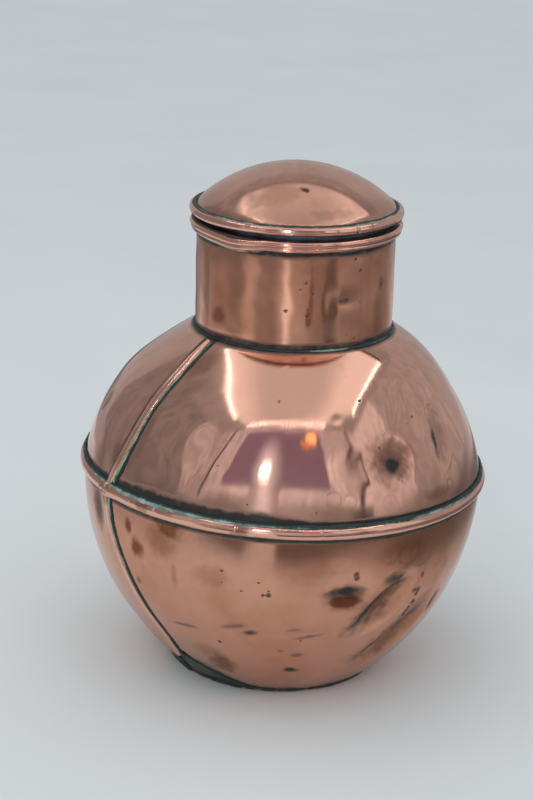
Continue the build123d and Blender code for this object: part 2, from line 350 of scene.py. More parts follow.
def in_mark(outline, theta, height, mark):
    """Distance from a mark's centre, 1 at its edge."""
    u, v = outline.spread(theta, height, mark.theta, mark.height)
    lean = math.radians(mark.tilt)
    across = u * math.cos(lean) - v * math.sin(lean)
    along = u * math.sin(lean) + v * math.cos(lean)
    return np.hypot(across / mark.across, along / mark.tall)


def dented(outline, theta, height, dents):
    """How far the sheet is pushed in at each place, in millimetres."""
    push = np.zeros(np.broadcast(theta, height).shape)
    for dent in dents:
        q = in_mark(outline, theta, height, dent)
        soft = np.exp(-1.6 * q**2)
        crisp = np.clip(1 - q**2, 0, 1) ** 1.5 - 0.06 * np.exp(-((q - 1.12) / 0.16) ** 2)
        push += dent.depth * (crisp if dent.crisp else soft)
    return push


def stains_and_shade(outline, theta, height, marks, rings, seed):
    """Dark marks and rust, 0 to 1, with ragged edges. A few dark marks are painted shade, and one is a
    painted reflection.
    """
    soils_and_shade = {kind: np.zeros(np.broadcast(theta, height).shape) for kind in ("grime_and_shade", "rust")}
    points, _ = outline.at(theta, height)
    ragged = 0.13 * ripple(points, 5, seed) + 0.07 * ripple(points, 2.3, seed + 1)
    for kind, places in marks.items():
        for mark in places:
            q = in_mark(outline, theta, height, mark)
            amount = mark.strength * (1 - smooth(0.35, 1.3, q + ragged))
            soils_and_shade[kind] = np.maximum(soils_and_shade[kind], amount)
    for ring in rings:
        u, v = outline.spread(theta, height, ring.theta, ring.height)
        off = np.abs(np.hypot(u, v) * (1 + 0.06 * ragged) - ring.radius)
        line = ring.strength * np.exp(-((off / 0.55) ** 2)) * (0.7 + ragged)
        soils_and_shade["grime_and_shade"] = np.maximum(soils_and_shade["grime_and_shade"], line)
    return soils_and_shade["grime_and_shade"], soils_and_shade["rust"]


# ---------------------------------------------------------------- meshes
def placed(name, data):
    """A new object in the scene that holds a mesh, a lamp or a camera."""
    piece = bpy.data.objects.new(name, data)
    bpy.context.scene.collection.objects.link(piece)
    return piece


def grid_piece(name, points, ring_closed, section_closed, uv=None, attributes=None, cap=True):
    """Mesh from points[around, along, xyz] in millimetres, as quads.

    ring_closed joins the last section to the first; section_closed joins each section's last point to its
    first. attributes maps a name to values[around, along].
    """
    around, along = points.shape[:2]
    rows = np.arange(around if ring_closed else around - 1)
    cols = np.arange(along if section_closed else along - 1)
    i, j = np.meshgrid(rows, cols, indexing="ij")
    i2, j2 = (i + 1) % around, (j + 1) % along
    quads = np.stack([i * along + j, i2 * along + j, i2 * along + j2, i * along + j2], -1).reshape(-1, 4)
    faces = quads.tolist()
    if cap and section_closed and not ring_closed:
        faces.append(list(range(along)))
        faces.append([(around - 1) * along + k for k in reversed(range(along))])
    mesh = bpy.data.meshes.new(name)
    mesh.from_pydata((points.reshape(-1, 3) * MM).tolist(), [], faces)
    mesh.validate()
    if uv is not None:
        layer = mesh.uv_layers.new(name="turn")
        loops = np.zeros(len(mesh.loops), np.int32)
        mesh.loops.foreach_get("vertex_index", loops)
        flat = uv.reshape(-1, 2)[loops].astype(np.float32)
        layer.data.foreach_set("uv", flat.ravel())
    for key, values in (attributes or {}).items():
        layer = mesh.attributes.new(key, "FLOAT", "POINT")
        layer.data.foreach_set("value", np.asarray(values, np.float32).ravel())
    for polygon in mesh.polygons:
        polygon.use_smooth = True
    return placed(name, mesh)


def settle(piece, body, slot, nodes, *materials):
    """Gives a piece its materials and its body, and hides the CAD nodes that it stands for."""
    for material in materials:
        piece.data.materials.append(material)
    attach(piece, body)
    if nodes:
        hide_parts(*nodes)
    return piece


def outward(piece):
    """Makes the faces point out of a closed piece."""
    mesh = bmesh.new()
    mesh.from_mesh(piece.data)
    bmesh.ops.remove_doubles(mesh, verts=mesh.verts, dist=1e-6)
    bmesh.ops.recalc_face_normals(mesh, faces=mesh.faces)
    mesh.to_mesh(piece.data)
    mesh.free()
    return piece


def line_inside(piece, along, outer_steps):
    """Gives the second material to the inner face: a section's steps from outer_steps on."""
    for index, polygon in enumerate(piece.data.polygons):
        polygon.material_index = int(index % along >= outer_steps)


def ring_uv(theta, sections, radius):
    """Metres round the can and along the section."""
    v = section_length(sections) * MM
    u = np.broadcast_to(np.radians(theta)[:, None] * radius * MM, v.shape)
    return np.stack([u, v], -1)


# ---------------------------------------------------------------- materials
class Shader:
    """One material's node tree, with short calls for the nodes that the looks need."""

    def __init__(self, name):
        self.material = bpy.data.materials.new(name)
        self.material.use_nodes = True
        self.tree = self.material.node_tree
        self.bsdf = self.tree.nodes["Principled BSDF"]
        place = self.tree.nodes.new("ShaderNodeTexCoord")
        self.place = place.outputs["Object"]
        self.uv = self.new("ShaderNodeUVMap", uv_map="turn").outputs[0]

    def new(self, kind, inputs=None, **settings):
        node = self.tree.nodes.new(kind)
        for key, value in settings.items():
            setattr(node, key, value)
        for key, value in (inputs or {}).items():
            if isinstance(value, bpy.types.NodeSocket):
                self.tree.links.new(value, node.inputs[key])
            else:
                node.inputs[key].default_value = value
        return node

    def set(self, socket, value):
        if isinstance(value, bpy.types.NodeSocket):
            self.tree.links.new(value, self.bsdf.inputs[socket])
        else:
            self.bsdf.inputs[socket].default_value = value

    def maths(self, operation, a, b=0.0, c=0.0):
        return self.new("ShaderNodeMath", {0: a, 1: b, 2: c}, operation=operation).outputs[0]

    def scaled(self, vector, scale, offset=(0, 0, 0)):
        inputs = {"Vector": vector, "Scale": scale, "Location": offset}
        return self.new("ShaderNodeMapping", inputs).outputs[0]

    def vector_maths(self, operation, a, b, c=(0, 0, 0), output=0):
        return self.new("ShaderNodeVectorMath", {0: a, 1: b, 2: c}, operation=operation).outputs[output]

    def noise(self, vector, scale, detail=2.0, roughness=0.5, distortion=0.0):
        inputs = {"Vector": vector, "Scale": scale, "Detail": detail, "Roughness": roughness}
        inputs["Distortion"] = distortion
        return self.new("ShaderNodeTexNoise", inputs).outputs[0]

    def ramp(self, value, low, high, to_low=0.0, to_high=1.0):
        inputs = {0: value, 1: low, 2: high, 3: to_low, 4: to_high}
        return self.new("ShaderNodeMapRange", inputs, interpolation_type="SMOOTHSTEP").outputs[0]

    def mix(self, factor, a, b):
        node = self.new("ShaderNodeMix", {0: factor, 6: a, 7: b}, data_type="RGBA")
        return node.outputs[2]

    def attribute(self, name):
        return self.new("ShaderNodeAttribute", attribute_name=name).outputs["Fac"]

    def bump(self, height, distance, normal=None, strength=1.0):
        inputs = {"Height": height, "Distance": distance, "Strength": strength}
        if normal is not None:
            inputs["Normal"] = normal
        return self.new("ShaderNodeBump", inputs).outputs[0]


# Linear colours of the copper, from polished to dark brown, and of what lies on it.
CLEAN = (0.90, 0.505, 0.390, 1)
BROWN = (0.70, 0.345, 0.235, 1)
DEEP = (0.44, 0.200, 0.135, 1)
# Darkens stains, and also paints shade in the crevices of the waist strip's lap.
GRIME_AND_SHADE = (0.010, 0.015, 0.018, 1)
RUST = (0.25, 0.080, 0.036, 1)
# Darkens the lower body's stains, and also paints shade in the belly's slanting dents and a dark reflection
# beside the left seam.
MOSSY_GRIME_AND_SHADE = (0.020, 0.025, 0.021, 1)
SPECK = (0.07, 0.03, 0.02, 1)


def patina(s, tarnish, tint):
    """Copper browned in clouds: its colour, how brown it is, and how deep a brown."""
    clouds = s.noise(s.place, 17, 4, 0.55, 0.4)
    blotches = s.noise(s.place, 120, 3, 0.6)
    mottled = s.maths("MULTIPLY_ADD", blotches, 0.22, s.maths("MULTIPLY", clouds, 0.8))
    brown = s.ramp(mottled, 0.72 - 0.5 * tarnish, 1.12 - 0.5 * tarnish)
    elsewhere = s.scaled(s.place, (1, 1, 1), (3.1, 1.7, 0.4))
    deep = s.ramp(s.noise(elsewhere, 40, 5, 0.65), 0.56, 0.78)
    clean, dull, deepest = ([*np.multiply(shade[:3], tint), 1] for shade in (CLEAN, BROWN, DEEP))
    colour = s.mix(brown, clean, dull)
    return s.mix(s.maths("MULTIPLY", deep, 0.6 * tarnish), colour, deepest), brown, deep


def scratches(s):
    """Fine scratches that run round the can; a few run aslant."""
    hair = s.noise(s.scaled(s.uv, (14, 4200, 1)), 1, 2, 0.6)
    aslant = s.noise(s.scaled(s.uv, (160, 2600, 1), (0.3, 0.1, 0)), 1, 3, 0.6, 0.3)
    return s.maths("MULTIPLY_ADD", aslant, 0.5, hair)


def specked(s, outline, pits):
    """Dark specks: a dot in one cell of some, and a rough-edged spot at each pit."""
    cells = s.new("ShaderNodeTexVoronoi", {"Vector": s.place, "Scale": 95.0})
    lucky = s.new("ShaderNodeSeparateColor", {0: cells.outputs["Color"]}).outputs[0]
    dots = s.ramp(cells.outputs["Distance"], 0.045, 0.09, 1, 0)
    specks = s.maths("MULTIPLY", dots, s.ramp(lucky, 0.88, 0.92))
    jitter = s.new("ShaderNodeTexNoise", {"Vector": s.place, "Scale": 900.0, "Detail": 2.0})
    centred = s.vector_maths("SUBTRACT", jitter.outputs["Color"], (0.5, 0.5, 0.5))
    wobbly = s.vector_maths("MULTIPLY_ADD", centred, (0.0020, 0.0020, 0.0020), s.place)
    for pit in pits:
        point, _ = outline.at(np.array(pit.theta), np.array(pit.height))
        away = s.vector_maths("DISTANCE", wobbly, tuple(point * MM), output="Value")
        hole = s.ramp(away, pit.radius * 0.5 * MM, pit.radius * 1.2 * MM, 1, 0)
        specks = s.maths("MAXIMUM", specks, hole)
    return specks


def copper(
    name, outline=None, pits=(), tarnish=0.5, roughness=0.13, scratch=1.0, tint=(1, 1, 1), soil_and_shade=GRIME_AND_SHADE
):
    """Old polished copper, with stains, painted shade in a few places, and rust, where the attributes say."""
    s = Shader(name)
    colour, brown, deep = patina(s, tarnish, tint)
    worn = scratches(s)
    specks = specked(s, outline, pits)
    rust = s.attribute("rust")
    mottle = s.maths("MULTIPLY_ADD", s.noise(s.place, 300, 4, 0.65), 0.55, 0.78)
    # These lines darken the colour and dull the metal where there are stains, and also where shade is painted
    # in a few places.
    dirt_and_shade = s.maths("MINIMUM", s.maths("MULTIPLY", s.attribute("grime_and_shade"), mottle), 1.0)
    colour = s.mix(s.maths("MULTIPLY", rust, mottle), colour, RUST)
    colour = s.mix(s.maths("MULTIPLY", dirt_and_shade, 0.97), colour, soil_and_shade)
    s.set("Base Color", s.mix(s.maths("MULTIPLY", specks, 0.9), colour, SPECK))
    spoiled_and_shaded = s.maths("MAXIMUM", dirt_and_shade, s.maths("MAXIMUM", specks, s.maths("MULTIPLY", rust, 0.5)))
    s.set("Metallic", s.ramp(spoiled_and_shaded, 0.3, 0.9, 1.0, 0.0))
    rough = s.maths("MULTIPLY_ADD", brown, 0.03, s.maths("MULTIPLY_ADD", deep, 0.05, roughness))
    rough = s.maths("MULTIPLY_ADD", worn, 0.03, rough)
    s.set("Roughness", s.maths("MULTIPLY_ADD", spoiled_and_shaded, 0.22, rough))
    s.set("Specular IOR Level", 0.2)
    # Turning scratches smear highlights up and down.
    s.set("Anisotropic", 0.88)
    s.set("Anisotropic Rotation", 0.25)
    s.set("Tangent", s.new("ShaderNodeTangent", direction_type="RADIAL", axis="Z").outputs[0])
    normal = s.bump(worn, 0.0000035 * scratch)
    normal = s.bump(s.noise(s.place, 55, 2, 0.5), 0.00007, normal)
    s.set("Normal", s.bump(specks, -0.00020, normal))
    return s.material


def verdigris(name, light=(0.15, 0.33, 0.24, 1), paler=(0.34, 0.50, 0.41, 1)):
    """Crust that is dark green to black, with mint where the crown attribute says."""
    s = Shader(name)
    fine = s.noise(s.place, 700, 3, 0.6)
    patches = s.noise(s.place, 160, 3, 0.6)
    dark = s.mix(patches, (0.003, 0.013, 0.013, 1), (0.009, 0.046, 0.036, 1))
    mint = s.mix(s.ramp(patches, 0.35, 0.65), light, paler)
    ragged = s.maths("MULTIPLY_ADD", fine, 0.7, s.maths("SUBTRACT", s.attribute("crown"), 0.35))
    s.set("Base Color", s.mix(s.ramp(ragged, 0.25, 0.85), dark, mint))
    s.set("Metallic", 0.0)
    s.set("Roughness", s.ramp(fine, 0.3, 0.7, 0.30, 0.60))
    s.set("Normal", s.bump(fine, 0.0002))
    return s.material


def tinned(name, dark=0.0):
    """Old tinning: blue-grey metal, streaked round the wall. A larger dark is darker."""
    s = Shader(name)
    streaks = s.noise(s.scaled(s.uv, (30, 700, 1)), 1, 4, 0.6)
    clouds = s.noise(s.place, 90, 4, 0.6)
    shade = s.maths("MULTIPLY_ADD", clouds, 0.6, s.maths("MULTIPLY", streaks, 0.5))
    bright = (0.30 - 0.22 * dark, 0.33 - 0.22 * dark, 0.36 - 0.20 * dark, 1)
    s.set("Base Color", s.mix(s.ramp(shade, 0.4, 0.72), (0.035, 0.042, 0.050, 1), bright))
    s.set("Metallic", 0.85)
    s.set("Roughness", s.ramp(shade, 0.3, 0.8, 0.28, 0.5))
    s.set("Normal", s.bump(streaks, 0.00006))
    return s.material


def iron():
    s = Shader("iron wire")
    rusty = s.ramp(s.noise(s.place, 400, 4, 0.6), 0.45, 0.65)
    s.set("Base Color", s.mix(rusty, (0.10, 0.09, 0.09, 1), (0.16, 0.06, 0.03, 1)))
    s.set("Metallic", 0.7)
    s.set("Roughness", 0.55)
    s.set("Normal", s.bump(rusty, 0.0001))
    return s.material


# ---------------------------------------------------------------- body shells
SEAM_HALF = 2.3  # half the width of an upper seam strip
LOWER_SEAM_HALF = 1.9
LEFT_STRIP_FOOT = 13.5  # the lower left strip ends here, in a smear of solder
SHELL_STEPS = 120
SHELL_AROUND = 400
SHELL_INSIDE_STEPS = 30
# The left seam wanders: heights and the angles it passes there.
SEAM_PATH = (
    (0, 189), (20, 188.5), (35, 186.5), (55, 183.5), (73, 179.2), (88, 176), (97, 176.2),
    (108, 179.2), (126, 182), (145, 183.1), (157, 182.2), (166, 180.8),
)


def seam_angle(height):
    """Where the left seam runs, eased over a few millimetres."""
    heights, angles = zip(*SEAM_PATH)
    return sum(np.interp(height + shift, heights, angles) for shift in (-8, -4, 0, 4, 8)) / 5


def near_seams(outline, theta, height):
    """Distance from the edge of the nearer seam strip."""
    left, _ = outline.spread(theta, height, seam_angle(height), height)
    right, _ = outline.spread(theta, height, 0, height)
    return np.minimum(np.abs(left), np.abs(right)) - SEAM_HALF


def joint_grime(distance, reach, strength, points, seed):
    """Tarnish beside a joint, with a ragged edge, reaching further in some stretches."""
    uneven = np.clip(1 + 0.35 * ripple(points, 30, seed) + 0.12 * ripple(points, 9, seed + 1), 0.4, 1.7)
    frayed = 0.05 * ripple(points, 3.0, seed + 2)
    return strength * (1 - smooth(0.25, 1.65, distance / (reach * uneven) + frayed))


def held(outline, height):
    """How much of a dent shows: the sheet is held at its joints."""
    low, high = (WAIST_HEIGHT, SHOULDER_HEIGHT) if outline is SHOULDER else (1.5, WAIST_HEIGHT)
    return 0.25 + 0.75 * smooth(0, 6, height - low) * smooth(0, 6, high - height)


# One level of the body: its outline and limits, what has happened to it, and how it follows the neck.
Level = namedtuple("Level", "outline low high dents marks rings joints warp seed")


def shell(name, level, back):
    """Half a turned shell: dented outer face, plain inner face, closed at its edges."""
    outline, low, high, seed = level.outline, level.low, level.high, level.seed
    outer_a = np.linspace(outline.angle(low), outline.angle(high), SHELL_STEPS)
    inner_a = np.linspace(outline.angle(high), outline.angle(low), SHELL_INSIDE_STEPS)
    a = np.concatenate([outer_a, inner_a])
    height = (outline.centre[1] + outline.radius * np.sin(a))[None, :]
    start, end = (0 * height, seam_angle(height)) if back else (seam_angle(height), 0 * height + 360)
    theta = start + (end - start) * np.linspace(0, 1, SHELL_AROUND + 1)[:, None]
    points, normals = outline.at(theta, height)
    sway = 0.10 * ripple(points, 36, seed) + 0.022 * ripple(points, 15, seed + 1)
    hold = smooth(0, 6, height - low) * smooth(0, 6, high - height)
    push = dented(outline, theta, height, level.dents) * held(outline, height) - sway * hold
    push[:, SHELL_STEPS:] += SHEET
    moved = level.warp(points - normals * push[..., None], height)
    grime_and_shade, rust = stains_and_shade(outline, theta, height, level.marks, level.rings, seed + 2)
    seam = joint_grime(near_seams(outline, theta, height) - 1.4, 0.9, 0.9, points, seed + 5)
    grime_and_shade = np.maximum.reduce([grime_and_shade, level.joints(theta, height, points), seam])
    u = np.radians(theta) * 0.07
    v = np.broadcast_to(outline.radius * MM * a[None, :], points.shape[:2])
    piece = grid_piece(name, moved, False, True, np.stack([u, v], -1), {"grime_and_shade": grime_and_shade, "rust": rust})
    line_inside(piece, points.shape[1], SHELL_STEPS)
    return piece


def upper_grime(theta, height, points):
    """Tarnish along the waist strip and the neck's foot."""
    over = height - WAIST_HEIGHT - 4.6
    waist = joint_grime(over, 1.1 + 3.2 * bell(theta, 203, 32), 1.0, points, 11)
    wide = joint_grime(over, 12, 0.25, points, 12)
    neck = joint_grime((SHOULDER_HEIGHT - height) * 1.6 - 1.2, 0.6, 0.8, points, 13)
    return np.maximum.reduce([waist, wide, neck])


def lower_grime(theta, height, points):
    """Tarnish under the waist strip, and a dark band at the foot that reaches higher at the front left."""
    under = WAIST_HEIGHT - 4.0 - height
    waist = joint_grime(under, 0.8, 0.95, points, 14)
    wide = joint_grime(under, 10, 0.15, points, 15)
    front_left = bell(theta, 197, 22)
    foot = joint_grime(height - 1.0 - 10.5 * front_left, 1.2 + 3.0 * front_left, 1.0, points, 16)
    return np.maximum.reduce([waist, wide, foot])


def neck_pull(points, height):
    """The top of the shoulder follows the crooked neck."""
    share = np.broadcast_to(smooth(SHOULDER_HEIGHT - 30, SHOULDER_HEIGHT - 4, height), points.shape[:2])
    return askew(points, share)


def stay(points, height):
    """The belly keeps its place. Called as neck_pull is."""
    return points


UPPER = Level(
    SHOULDER, WAIST_HEIGHT, SHOULDER_HEIGHT, SHOULDER_DENTS, SHOULDER_MARKS, SHOULDER_RINGS, upper_grime,
    neck_pull, 100,
)
LOWER = Level(
    BELLY, LOWER_LOW[2], WAIST_HEIGHT, BELLY_DENTS, BELLY_MARKS, BELLY_RINGS, lower_grime, stay, 200
)


def body_shells():
    tint = (0.84, 0.77, 0.69)
    looks = {
        "upper": copper("copper upper body", SHOULDER, SHOULDER_PITS, 0.45, 0.058),
        "lower": copper("copper lower body", BELLY, BELLY_PITS, 0.72, 0.12, tint=tint, soil_and_shade=MOSSY_GRIME_AND_SHADE),
    }
    lining = tinned("tinned inside", 0.2)
    for side in ("front", "back"):
        for name, level in (("upper", UPPER), ("lower", LOWER)):
            piece = shell(f"{name}_body_{side}", level, side == "back")
            settle(piece, "can", "copper", [f"{name}_shell_{side}"], looks[name], lining)


# ---------------------------------------------------------------- rings and strips
def ring_points(theta, section, radius, height):
    """Sections turned round Z: section[around, along, 2] holds reach outwards and upwards."""
    t = np.radians(theta)[:, None]
    reach = radius + section[..., 0]
    return np.stack([reach * np.cos(t), reach * np.sin(t), height + section[..., 1]], -1)


def lobe(centre, radius, start, end, steps):
    """Arc of a section, by angles in degrees."""
    a = np.radians(np.linspace(start, end, steps))
    return np.stack([centre[0] + radius * np.cos(a), centre[1] + radius * np.sin(a)], -1)


def section_length(section):
    step = np.linalg.norm(np.roll(section, -1, axis=-2) - section, axis=-1)
    return np.cumsum(step, axis=-1)


def roll_piece(name, section, radius, height, crooked, wobble, seed, edit=None, dirt_and_shade=None, focus=None):
    """A bead of copper round the can, from one section that wobbles a little on its way.

    edit changes the sections, the next argument gives painted shade of their own, and steps are finest at the
    angle focus.
    """
    theta = EVEN_THETA
    if focus is not None:
        theta = focus + theta - 180 - math.degrees(0.82) * np.sin(np.radians(theta - 180))
    sections = np.repeat(section[None], AROUND, axis=0)
    middle = ring_points(theta, sections, radius, height)
    centre = section.mean(axis=0)
    centre_line = ring_points(theta, np.repeat(centre[None, None], AROUND, axis=0), radius, height)
    swell = 1 + wobble * ripple(centre_line, 30, seed) + 0.6 * wobble * ripple(centre_line, 9, seed + 1)
    sections = centre + (sections - centre) * swell[..., None]
    sections[..., 1] += 0.12 * ripple(centre_line, 60, seed + 2)
    if edit is not None:
        sections = edit(theta, sections)
    points = ring_points(theta, sections, radius, height)
    if crooked:
        points = askew(points)
    across = sections[..., 0] - sections[..., 0].min(axis=1, keepdims=True)
    depth = across / across.max(axis=1, keepdims=True)
    grime_and_shade = 0.95 * (1 - smooth(0.10, 0.42, depth + 0.07 * ripple(middle, 5, seed + 3)))
    grime_and_shade = np.maximum(grime_and_shade, 0.5 * smooth(0.95, 1.25, ripple(middle, 6, seed + 4)))
    if dirt_and_shade is not None:
        grime_and_shade = np.maximum(grime_and_shade, dirt_and_shade(theta, sections))
    rust = 0.45 * smooth(0.5, 1.0, ripple(middle, 18, seed + 6))
    uv = ring_uv(theta, sections, radius)
    return outward(grid_piece(name, points, True, True, uv, {"grime_and_shade": grime_and_shade, "rust": rust}))


def crust(name, body, nodes, look, frames, width, height, seed, mint, mint_side, closed=True):
    """A ragged line of crust: frames are points, directions across and directions out, each [n, 3].

    mint is how much mint shows at each point, and mint_side where it lies on the section, in degrees from
    the direction across towards out.
    """
    points, across, out = frames
    a = np.linspace(0, 2 * math.pi, CRUST_STEPS, endpoint=False)
    wide = width * (1 + 0.20 * ripple(points, 11, seed) + 0.14 * ripple(points, 3.0, seed + 1))
    tall = height * (1 + 0.25 * ripple(points, 9, seed + 2) + 0.2 * ripple(points, 2.4, seed + 3))
    tall = np.maximum(tall, 0.2 * height)
    wide = np.maximum(wide, 0.3 * width)
    section = (
        points[:, None]
        + across[:, None] * (wide[:, None] * np.cos(a))[..., None]
        + out[:, None] * (tall[:, None] * np.sin(a))[..., None]
    )
    section = section + out[:, None] * (0.07 * height * ripple(section, 1.4, seed + 4))[..., None]
    lit_side = np.exp(-((wrap(np.degrees(a) - mint_side) / 48) ** 2))
    patchy = np.clip(mint * (1 + 0.35 * ripple(points, 8, seed + 5)), 0, 1.3)
    crown = patchy[:, None] * lit_side[None, :]
    step = np.linalg.norm(np.diff(points, axis=0, append=points[:1]), axis=1)
    u = np.broadcast_to((np.cumsum(step) * MM)[:, None], section.shape[:2])
    v = np.broadcast_to(a[None, :] * height * MM, section.shape[:2])
    piece = outward(grid_piece(name, section, closed, True, np.stack([u, v], -1), {"crown": crown}))
    settle(piece, body, "verdigris_solder", nodes, look)


CRUST_STEPS = 16
RING_THETA = np.linspace(0, 360, 1080, endpoint=False)


def bell(theta, centre, spread):
    """1 at an angle round the can, fading to 0 beyond its spread."""
    return np.exp(-((wrap(theta - centre) / spread) ** 2))


def ring_frames(radius, height, lean, crooked):
    """Frames round a joint; lean is how far the crust's outward direction is turned up, in degrees."""
    t = np.radians(RING_THETA)
    points = np.stack([radius * np.cos(t), radius * np.sin(t), 0 * t + height], -1)
    tip = math.radians(lean)
    flat = np.stack([np.cos(t), np.sin(t), 0 * t], -1)
    up = np.array([0, 0, 1.0])
    out = flat * math.cos(tip) + up * math.sin(tip)
    across = -flat * math.sin(tip) + up * math.cos(tip)
    if crooked:
        points = askew(points)
    return points, across, out


# ---------------------------------------------------------------- waist
LAP_THETA = 176.4  # where the waist strip's ends lap, over the left seam
NICK_THETA = 222.5  # a dark nick in the strip
# Nicks in the strip's crown: angle, half width in degrees, depth.
NICKS = (
    (NICK_THETA, 0.5, 0.5), (245, 0.35, 0.3), (198, 0.6, 0.3), (283, 0.5, 0.3), (188, 0.4, 0.3),
    (75, 0.7, 0.4),
)


def past_lap(theta):
    """Distance round the can from the middle of the lap, in millimetres."""
    return np.radians(wrap(theta - LAP_THETA)) * WAIST_RADIUS


def past_tongue(theta, sections):
    """Distance past the tongue's rounded end, in millimetres round the can."""
    rounding = np.sqrt(np.clip(1.0 - (sections[..., 1] / 3.1) ** 2, 0, 1))
    return past_lap(theta)[:, None] + 3.2 * rounding + 0.35 * np.sin(2.1 * sections[..., 1])


def waist_edit(theta, sections):
    """Laps one rounded end of the strip over the other, and nicks its crown."""
    arc = past_lap(theta)
    past = past_tongue(theta, sections)
    out = sections.copy()
    outer = smooth(-0.2, 0.8, out[..., 0])
    # The tongue comes from the right and ends past the seam; the other end tucks in below it.
    over = smooth(-0.3, 0.3, past) * (1 - smooth(4, 11, arc))[:, None]
    under = (1 - smooth(-0.4, 0.1, past)) * smooth(-9, -4, arc)[:, None]
    crumple = 0.45 * np.sin(arc * 1.7 + 0.6)[:, None] * np.exp(-((arc / 4.5) ** 2))[:, None]
    out[..., 0] += outer * (0.8 * over - 0.5 * under + crumple)
    out[..., 1] *= 1 + 0.22 * np.exp(-((arc / 3.5) ** 2))[:, None]
    for place, half, depth in NICKS:
        out[..., 0] -= (depth * bell(theta, place, half))[:, None] * smooth(0.4, 1.6, out[..., 0])
    return out


def waist_lap_shade_and_nick(theta, sections):
    """Painted shade in the crevices where the strip's ends lap and along the crumples there, and a dark nick.
    """
    arc = past_lap(theta)
    edge = np.exp(-(((past_tongue(theta, sections) + 0.5) / 0.75) ** 2))
    wrinkle = np.sin(1.3 * sections[..., 1] + 0.9 * arc[:, None]) - 0.25
    wrinkles = np.exp(-((wrinkle / 0.55) ** 2)) * np.exp(-(((arc + 0.5) / 3.8) ** 2))[:, None]
    nick = bell(theta, NICK_THETA, 0.6)[:, None] * np.exp(-((sections[..., 1] / 0.8) ** 2))
    return np.maximum.reduce([edge, 0.95 * wrinkles, 0.9 * nick])


def waist():
    half = WAIST_BEAD_HIGH[2] - WAIST_HEIGHT + 0.1
    reach = WAIST_BEAD_HIGH[0] - WAIST_RADIUS
    crown_radius = (half**2 + reach**2) / (2 * reach)
    tip = math.degrees(math.asin(half / crown_radius))
    crown = lobe((reach - crown_radius, 0), crown_radius, -tip, tip, 36)
    back = np.array([[-0.25, half * 0.9], [-0.25, 0.0], [-0.25, -half * 0.9]])
    strip = roll_piece(
        "waist_strip", np.concatenate([crown, back]), WAIST_RADIUS, WAIST_HEIGHT, False, 0.03, 31,
        waist_edit, waist_lap_shade_and_nick, LAP_THETA,
    )
    settle(strip, "can", "beading", ["waist_bead"], BEAD)
    left = bell(RING_THETA, 190, 22)
    pale = 0.35 + 0.9 * left + 0.55 * bell(RING_THETA, 285, 14) + 0.3 * bell(RING_THETA, 215, 25)
    frames = ring_frames(WAIST_RADIUS + 0.15, WAIST_HEIGHT + half + 0.3, 40, False)
    green = verdigris("verdigris waist", (0.11, 0.21, 0.20, 1), (0.32, 0.44, 0.41, 1))
    wide = 1.1 + 0.5 * left
    crust("waist_crust_upper", "can", ["waist_solder_upper"], green, frames, wide, 0.62, 41, pale, 135)
    frames = ring_frames(WAIST_RADIUS + 0.1, WAIST_HEIGHT - half - 0.05, -30, False)
    # Painted sheen: the paler green round 268 degrees stands in for a highlight on the crust; elsewhere the
    # mint is the crust's own.
    mint = 0.2 + 0.4 * bell(RING_THETA, 268, 8)
    thin = verdigris("verdigris thin")
    crust("waist_crust_lower", "can", ["waist_solder_lower"], thin, frames, 0.9, 0.6, 42, mint, 0)
    lump()


def lump():
    """A small grey blob of solder where the strips meet."""
    around, along = 40, 24
    theta = np.linspace(0, 2 * math.pi, around, endpoint=False)[:, None]
    phi = np.linspace(0.02, math.pi - 0.02, along)[None, :]
    ball = np.stack(
        [np.cos(phi) + 0 * theta, np.sin(phi) * np.cos(theta), np.sin(phi) * np.sin(theta)], -1
    )
    ball *= (1 + 0.16 * ripple(ball * 10, 9, 45))[..., None]
    t = math.radians(LAP_THETA - 2.6)
    radial = np.array([math.cos(t), math.sin(t), 0])
    sideways = np.array([-math.sin(t), math.cos(t), 0])
    axes = np.stack([radial * 0.75, sideways * 1.7, np.array([0, 0, 1.3])])
    points = radial * (WAIST_RADIUS + 1.3) + np.array([0, 0, WAIST_HEIGHT - 0.8]) + ball @ axes
    uv = np.zeros(points.shape[:2] + (2,))
    blob = outward(grid_piece("waist_solder_lump", points, True, True, uv))
    settle(blob, "can", "verdigris_solder", [], tinned("solder grey", -0.3))


# ---------------------------------------------------------------- seam strips
def seam_line(outline, left, low, high, sideways, offset, steps):
    """Points beside a seam on the body: sideways is the distance round the can from the seam's middle."""
    a = np.linspace(outline.angle(low), outline.angle(high), steps)
    height = outline.centre[1] + outline.radius * np.sin(a)
    reach = outline.centre[0] + outline.radius * np.cos(a)
    middle = seam_angle(height) if left else 0 * height
    theta = middle + np.degrees(sideways / reach)
    points, normals = outline.at(theta, height, offset)
    dents = SHOULDER_DENTS if outline is SHOULDER else BELLY_DENTS
    points = points - normals * (dented(outline, theta, height, dents) * held(outline, height))[:, None]
    t = np.radians(theta)
    across = np.stack([-np.sin(t), np.cos(t), 0 * t], -1)
    return points, across, normals, theta, height


SEAM_STEPS = 300
SEAM_CRUST_STEPS = 420


